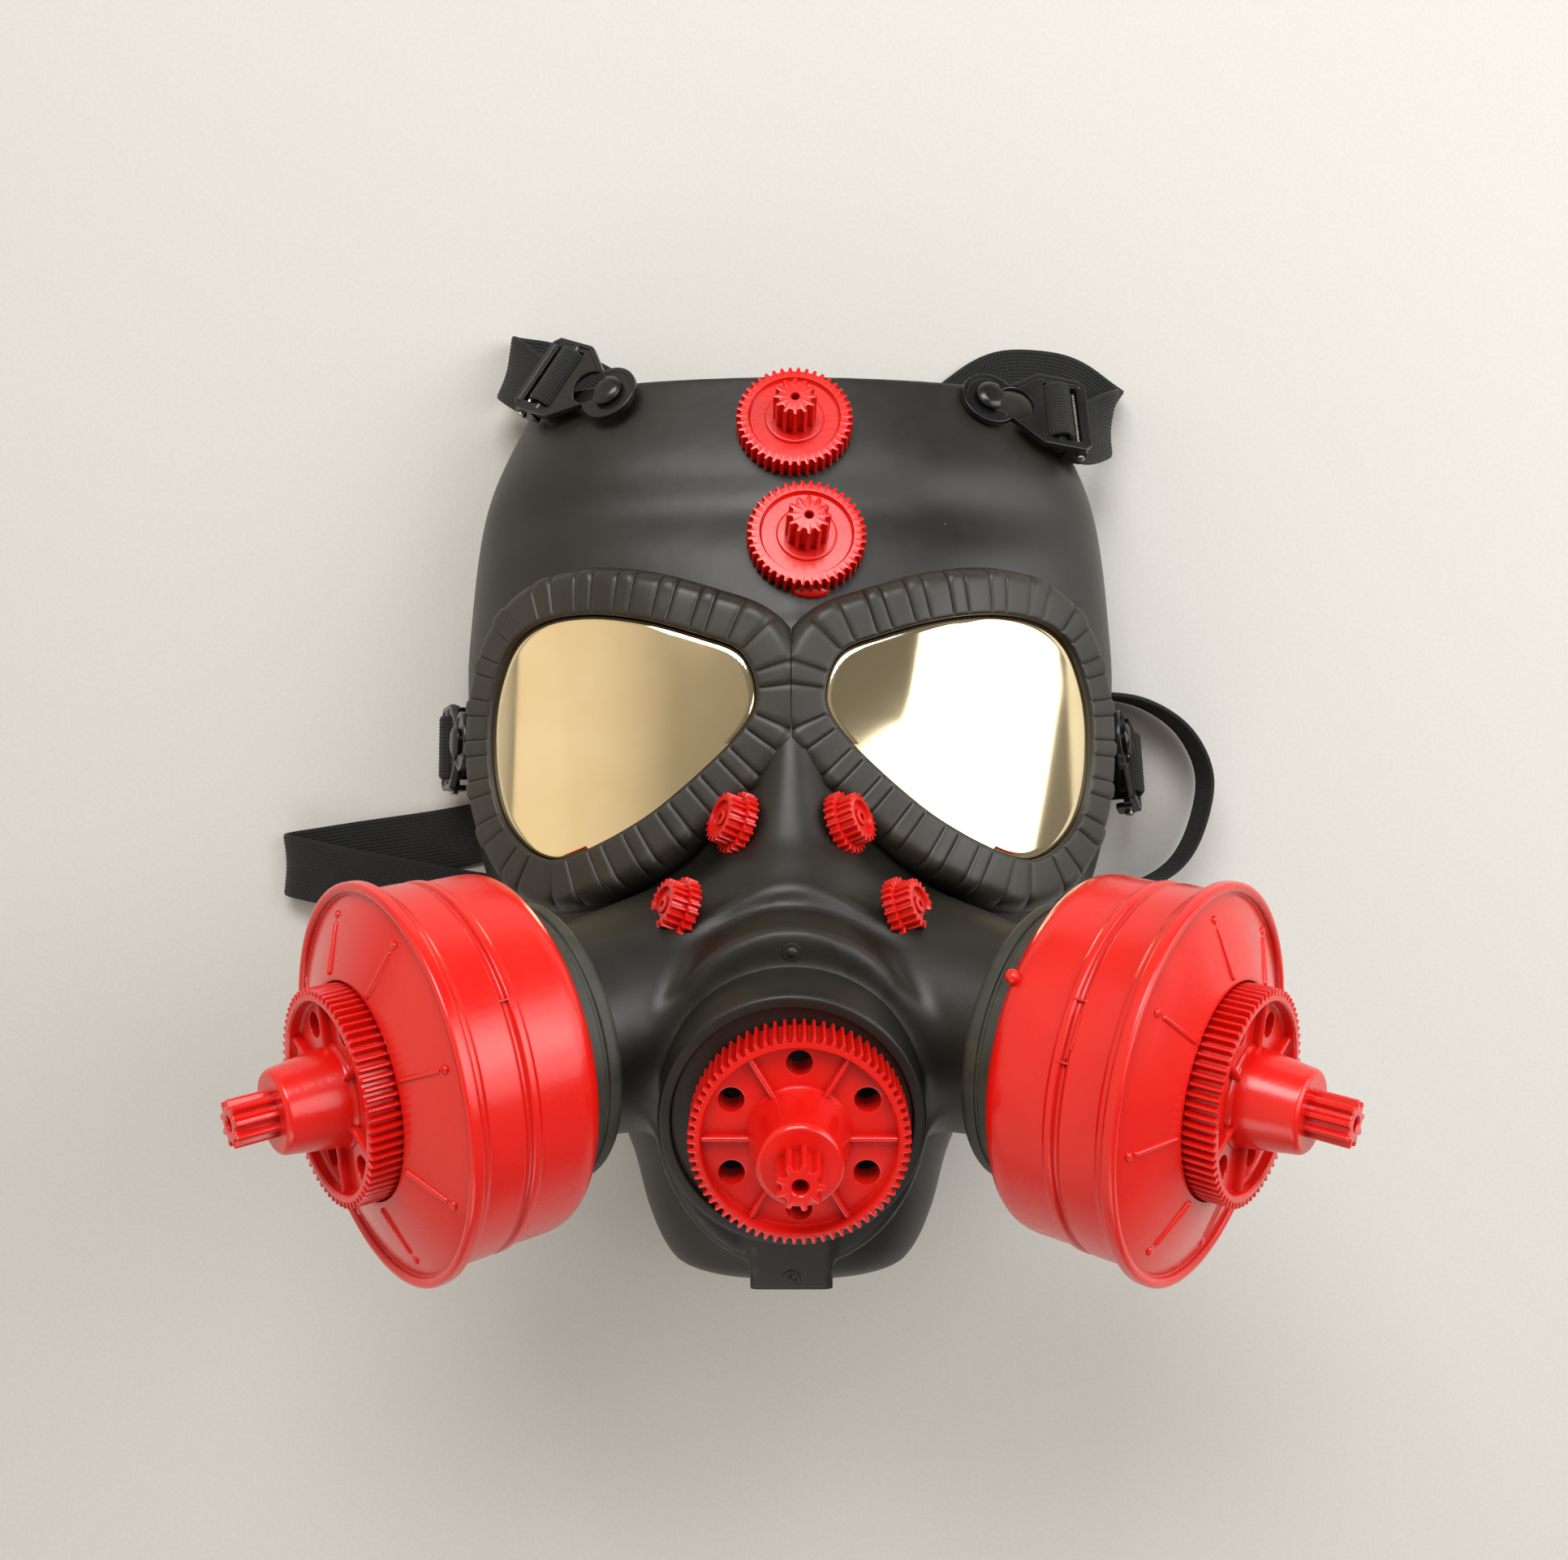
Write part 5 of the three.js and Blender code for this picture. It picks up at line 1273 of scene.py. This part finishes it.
def makePlate():
    look = buckle
    low, high = look["lift"], look["lift"] + look["thickness"]
    half, shoulder, length = look["half"], look["shoulder"], look["length"]
    lean = math.degrees(math.acos(look["end"] / shoulder)) * 0.8
    corner, turn = look["corner"], shoulder + 1.2
    rim = arc(look["end"], 0, 0, lean, 360 - lean, 40)
    rim += arc(corner, turn, corner - half, 235, 270, 5)
    rim += [(length - 2, -half), (length, 2 - half), (length, half - 2), (length - 2, half)]
    rim += arc(corner, turn, half - corner, 90, 125, 5)
    key = arc(look["key"], look["keyPlace"], 0, -look["keyOpening"], look["keyOpening"], 30)
    key += arc(look["slot"], 0, 0, 90, 270, 16)
    window = rectangle(*look["window"], -look["windowHalf"], look["windowHalf"])
    floor = high - look["pocket"]
    pocket = stacked(offsetLoop(rim, -look["border"]),
                     [(floor, -0.2), (floor + 0.15, 0), (high, 0.15), (high + 1, 0.15)])
    body = combined(slab(rim, low, high, look["soft"]),
                    taken=[pocket, hole(key, low, floor, 0.4), hole(window, low, floor, 0.3)])
    rod = lying(slab(circle(look["bar"], sides=32), -half + 0.5, half - 0.5, 0.3),
                look["barPlace"], high - look["bar"])
    loop = rectangle(*look["flange"], look["flangeLow"], low + 0.5, 1.3)
    thick = look["flangeThick"] / 2
    cheek = lying(slab(loop, -thick, thick, 0.25), 0, 0)
    flanges = [raised(cheek, y=side * (half - thick)) for side in (-1, 1)]
    bore = lying(slab(circle(look["pin"] + 0.3, sides=24), -half - 2, half + 2, 0.1),
                 look["pinPlace"], look["pinLevel"])
    return combined(body, [rod, *flanges], [bore])


def makePin():
    look = buckle
    return lying(slab(circle(look["pin"], sides=24), -look["pinReach"], look["pinReach"], 0.3),
                 look["pinPlace"], look["pinLevel"])


def makePeg():
    look = buckle
    low, high, wide = look["headLow"], look["headHigh"], look["head"]
    head = turned([(0, low, 0), (wide - 0.3, low, 0.3), (wide, low + 0.7, 0.5),
                   (wide - 1.3, high, 0.8), (0, high + 0.5, 0)], 48, 3)
    cutter = slab(rectangle(look["headCut"], 9, -8, 8), low - 1, high + 1, 0.1)
    moon = combined(head, taken=[cutter])
    post = slab(circle(look["peg"], sides=32), look["pegFoot"], high, 0.3)
    return combined(moon, [post])


plateBody, pinBody, pegBody = makePlate(), makePin(), makePeg()
for name, (place, along, up) in buckleFrames.items():
    where = laid(place, along, up)
    placed("keyhole_buckle_" + name, plateBody, where, "buckle_plastic", "buckle_" + name)
    placed("hook_peg_" + name, pegBody, where, "buckle_plastic", "peg_" + name)
    placed("cross_pin_" + name, pinBody, where, "pin_steel", "pin_" + name)
print("buckles made")

# Straps: flat elastic with lengthwise ribs, sewn round the buckles' bars
strap = {
    "width": 18.5, "thickness": 1.6, "gap": 0.3, "ribs": 18, "relief": 0.26, "step": 1.6,
    "draftStep": 4.0, "draftRibs": 9, "slack": 0.35, "softening": 12, "easeAfter": 10.0,
}
# Rows along a strap: shares of half the face's width and of its height, lift in strap widths,
# the heading of the strap's width in degrees and how far it stands on its edge.
browRows = {
    "x": [-0.875, -0.87, -0.8, -0.7, -0.5, -0.25, 0, 0.25, 0.5, 0.7, 0.85, 0.96, 1.0, 0.995],
    "y": [0.507, 0.513, 0.513, 0.5, 0.455, 0.385, 0.36, 0.385, 0.455, 0.502, 0.497, 0.468, 0.45,
          0.44],
    "lift": [0.5, 0.14, 0.01, 0, 0, 0, 0, 0, 0, 0, 0, 0.02, 0.22, 0.62],
    "aim": [80, 82, 82, 72, 62, 75, 90, 105, 118, 95, 65, 56, 66, 80],
    "edge": [0] * 14,
}
sideRows = {
    "x": [-0.95, -0.85, -0.7, -0.62, -0.585, -0.585, -0.62, -0.75, -0.92, -1.1, -1.38, -1.54, -1.59,
          -1.59, -1.54, -1.44, -1.26, -1.1, -0.9, -0.6, 0, 0.5, 0.75, 0.95, 1.11, 1.22, 1.28, 1.3,
          1.25, 1.16, 1.04, 0.9, 0.79, 0.73, 0.76, 0.87],
    "y": [0.036, 0.028, 0.002, -0.015, -0.018, -0.019, -0.023, -0.042, -0.06, -0.074, -0.09, -0.1,
          -0.103, -0.105, -0.109, -0.118, -0.132, -0.145, -0.158, -0.17, -0.18, -0.17, -0.15,
          -0.138, -0.127, -0.098, -0.046, 0, 0.052, 0.084, 0.102, 0.104, 0.088, 0.05, 0.02, 0.01],
    "lift": [0.24, 0.18, 0.15, 0.16, 0.12, 0.05, 0.01, 0, 0, 0, 0, 0.03, 0.14, 0.28, 0.38, 0.38,
             0.3, 0.17, 0.04, 0, 0, 0.06, 0.32] + [0.5] * 10 + [0.49, 0.33, 0.24],
    "aim": [86, 76, 72, 80, 90, 92, 100, 106, 104, 99, 96, 93, 91, 90, 88, 85, 84, 83, 84, 86, 90,
            95, 98, 98, 100, 130, 170, 190, 220, 240, 265, 275, 320, 360, 420, 446],
    "edge": [0] * 21 + [0.05, 0.4, 0.85] + [1] * 9 + [0.75, 0.35, 0.05],
}


def wrapped(name, sign, leaves):
    # The strap's turn round a buckle's bar, from its sewn end to where it leaves under the pin.
    where = laid(*buckleFrames[name])
    reach = buckle["bar"] + strap["gap"] + strap["thickness"] / 2 + strap["slack"]
    level = buckle["lift"] + buckle["thickness"] - buckle["bar"]
    spots = []
    for degrees in (225, 180, 135, 90, 45, 0):
        angle = math.radians(degrees)
        spots.append((buckle["barPlace"] + reach * math.cos(angle), level + reach * math.sin(angle)))
    under = buckle["lift"] - strap["gap"] * 2 - buckle["pin"] * 2 - strap["thickness"]
    spots.append((buckle["barPlace"] + reach, under + strap["thickness"]))
    if leaves:
        spots.append((buckle["pinPlace"] - buckle["pin"], under))
        spots.append((buckle["length"] - 1, under - strap["thickness"] * 1.4))
    places = moved([(x, 0, z) for x, z in spots], where)
    return places, np.tile(where[1][1] * sign, (len(spots), 1))


def rowStations(rows):
    rest = strap["thickness"] / 2 + strap["gap"]
    x = np.array(rows["x"]) * face["width"] / 2
    y = np.array(rows["y"]) * face["height"]
    z = rest + np.array(rows["lift"]) * strap["width"]
    aim, stand = np.radians(rows["aim"]), np.array(rows["edge"]) * math.pi / 2
    level = np.cos(stand)
    across = np.column_stack([np.cos(aim) * level, np.sin(aim) * level, np.sin(stand)])
    return np.column_stack([x, y, z]) + maskShift, across


def strapSection():
    # Across the strap: ribs on both faces, thin rounded edges.
    count = strap["ribs"]
    half, thick = strap["width"] / 2, strap["thickness"] / 2
    u = np.linspace(-1, 1, count * 4 + 1)
    rib = thick - strap["relief"] * np.abs(np.sin(u * math.pi * count / 2)) ** 3
    rib *= np.clip((1 - np.abs(u)) / 0.05, 0.25, 1) ** 0.5
    low = np.column_stack([u * half, -rib])
    high = np.column_stack([u[::-1] * half, rib[::-1]])
    return np.vstack([low, high])


def makeStrap(name, rows, left, right, leaves, node):
    starts, startAcross = wrapped(left, -1, leaves)
    ends, endAcross = wrapped(right, 1, leaves)
    middles, middleAcross = rowStations(rows)
    places = np.vstack([starts, middles, ends[::-1]])
    across = np.vstack([startAcross, middleAcross, endAcross[::-1]])
    lengths = np.concatenate([[0], np.cumsum(np.linalg.norm(np.diff(places, axis=0), axis=1))])
    step = strap["step"]
    dense = [np.linspace(a, b, max(3, int((b - a) / step) + 1), endpoint=False)
             for a, b in zip(lengths, lengths[1:])]
    dense = np.append(np.concatenate(dense), lengths[-1])
    line = np.column_stack([smoothRow(lengths, places[:, k], dense) for k in range(3)])
    wide = np.column_stack([np.interp(dense, lengths, across[:, k]) for k in range(3)])
    # Past the buckles the bends are eased, as elastic eases them.
    past = np.minimum(dense - lengths[len(starts)], lengths[-len(ends) - 1] - dense)
    free = np.clip(past / strap["easeAfter"], 0, 1)
    for _ in range(strap["softening"]):
        for run in (line, wide):
            run[1:-1] += 0.5 * free[1:-1, None] * ((run[:-2] + run[2:]) / 2 - run[1:-1])
    ahead = np.gradient(line, axis=0)
    ahead /= np.linalg.norm(ahead, axis=1)[:, None]
    wide -= ahead * (wide * ahead).sum(1)[:, None]
    wide /= np.linalg.norm(wide, axis=1)[:, None]
    thick = np.cross(ahead, wide)
    section = strapSection()
    rings = line[:, None] + wide[:, None] * section[:, :1] + thick[:, None] * section[:, 1:]
    # No stretch of the strap goes under the floor.
    rings[:, :, 2] += np.maximum(strap["gap"] - rings[:, :, 2].min(1), 0)[:, None]
    points, faces = loft(rings)
    run = np.concatenate([np.repeat(dense, len(section)), [dense[0], dense[-1]]])

    def weave(mesh):
        layer = mesh.uv_layers.new(name="weave")
        corners = np.zeros(len(mesh.loops), np.int32)
        mesh.loops.foreach_get("vertex_index", corners)
        layer.uv.foreach_set("vector", np.column_stack([run[corners], corners * 0.0]).ravel())
    return shown(name, points, faces, "strap_webbing", [node], 60.0, along=weave)


makeStrap("elastic_strap_brow", browRows, "brow_left", "brow_right", True, "strap_brow")
makeStrap("elastic_strap_side", sideRows, "side_left", "side_right", False, "strap_side")
print("straps made")


# Floor and light: a plain pale floor and soft studio panels
studio = {
    "floor": ("#c4c2bd", "#c9c7c2"), "floorSize": 6.0, "floorRoughness": 0.8, "tooth": 1.111,
    "wall": "#fff0da", "room": "#c2b8a8", "ceiling": "#62605c", "far": "#8b8781", "strength": 1.0,
}


def makeFloor():
    reach = studio["floorSize"] / 2
    corners = [(-reach, -reach, 0), (reach, -reach, 0), (reach, reach, 0), (-reach, reach, 0)]
    mesh = meshOf("floor", corners, [(0, 1, 2, 3)], 1)
    material, tree, shader, place = newMaterial("pale paper floor")
    tooth = addNode(tree, "ShaderNodeTexNoise", {"Scale": perMetre(studio["tooth"]), "Detail": 3.0},
                    {"Vector": place})
    tint = addNode(tree, "ShaderNodeValToRGB", links={"Fac": tooth.outputs["Fac"]})
    setRamp(tint, zip((0.3, 0.7), studio["floor"]))
    tree.links.new(tint.outputs[0], shader.inputs["Base Color"])
    shader.inputs["Roughness"].default_value = studio["floorRoughness"]
    mesh.materials.append(material)
    objectOf("floor", mesh)


panels = [
    {"name": "overhead", "at": (-0.12, 0.85, 1.0), "aim": (0.0, 0.0, 0.06), "size": (0.8, 0.5),
     "power": 13.0, "roll": 0},
    {"name": "windowNear", "at": (0.7, 0.22, 0.91), "aim": (0.06, 0.0, 0.08), "size": (0.62, 0.85),
     "power": 5.0, "roll": 28},
    {"name": "windowFar", "at": (1.0, 0.3, 0.56), "aim": (0.06, 0.0, 0.08), "size": (0.78, 0.9),
     "power": 5.6, "roll": 28},
    {"name": "low", "at": (-0.15, -0.9, 0.6), "aim": (0.0, 0.0, 0.06), "size": (0.9, 0.4),
     "power": 2.2, "roll": 0},
]


def makeLights():
    for panel in panels:
        lamp = bpy.data.lights.new(panel["name"], "AREA")
        lamp.shape = "RECTANGLE"
        lamp.size, lamp.size_y = panel["size"]
        lamp.energy = panel["power"]
        light = objectOf(panel["name"], lamp)
        light.location = panel["at"]
        way = Vector(panel["aim"]) - Vector(panel["at"])
        turn = way.to_track_quat("-Z", "Y") @ Quaternion((0, 0, 1), math.radians(panel["roll"]))
        light.rotation_euler = turn.to_euler()
    # The photograph's contrast: colours are shown as they are, with no film-like softening.
    bpy.context.scene.view_settings.view_transform = "Standard"
    world = bpy.data.worlds.new("studio")
    bpy.context.scene.world = world
    world.use_nodes = True
    tree = world.node_tree
    tree.nodes.clear()
    way = addNode(tree, "ShaderNodeTexCoord").outputs["Generated"]
    parts = addNode(tree, "ShaderNodeSeparateXYZ", links={0: way})
    share = addNode(tree, "ShaderNodeMapRange", {"From Min": -1.0, "From Max": 1.0},
                    {0: parts.outputs[0]})
    tint = setRamp(addNode(tree, "ShaderNodeValToRGB", links={"Fac": share.outputs[0]}),
                   [(0.04, studio["wall"]), (0.28, studio["room"]), (0.5, studio["ceiling"]),
                    (1.0, studio["far"])])
    tint.color_ramp.interpolation = "B_SPLINE"
    glow = addNode(tree, "ShaderNodeBackground", {"Strength": studio["strength"]},
                   {"Color": tint.outputs[0]})
    addNode(tree, "ShaderNodeOutputWorld", links={"Surface": glow.outputs[0]})


makeFloor()
makeLights()
print("floor and lights made")
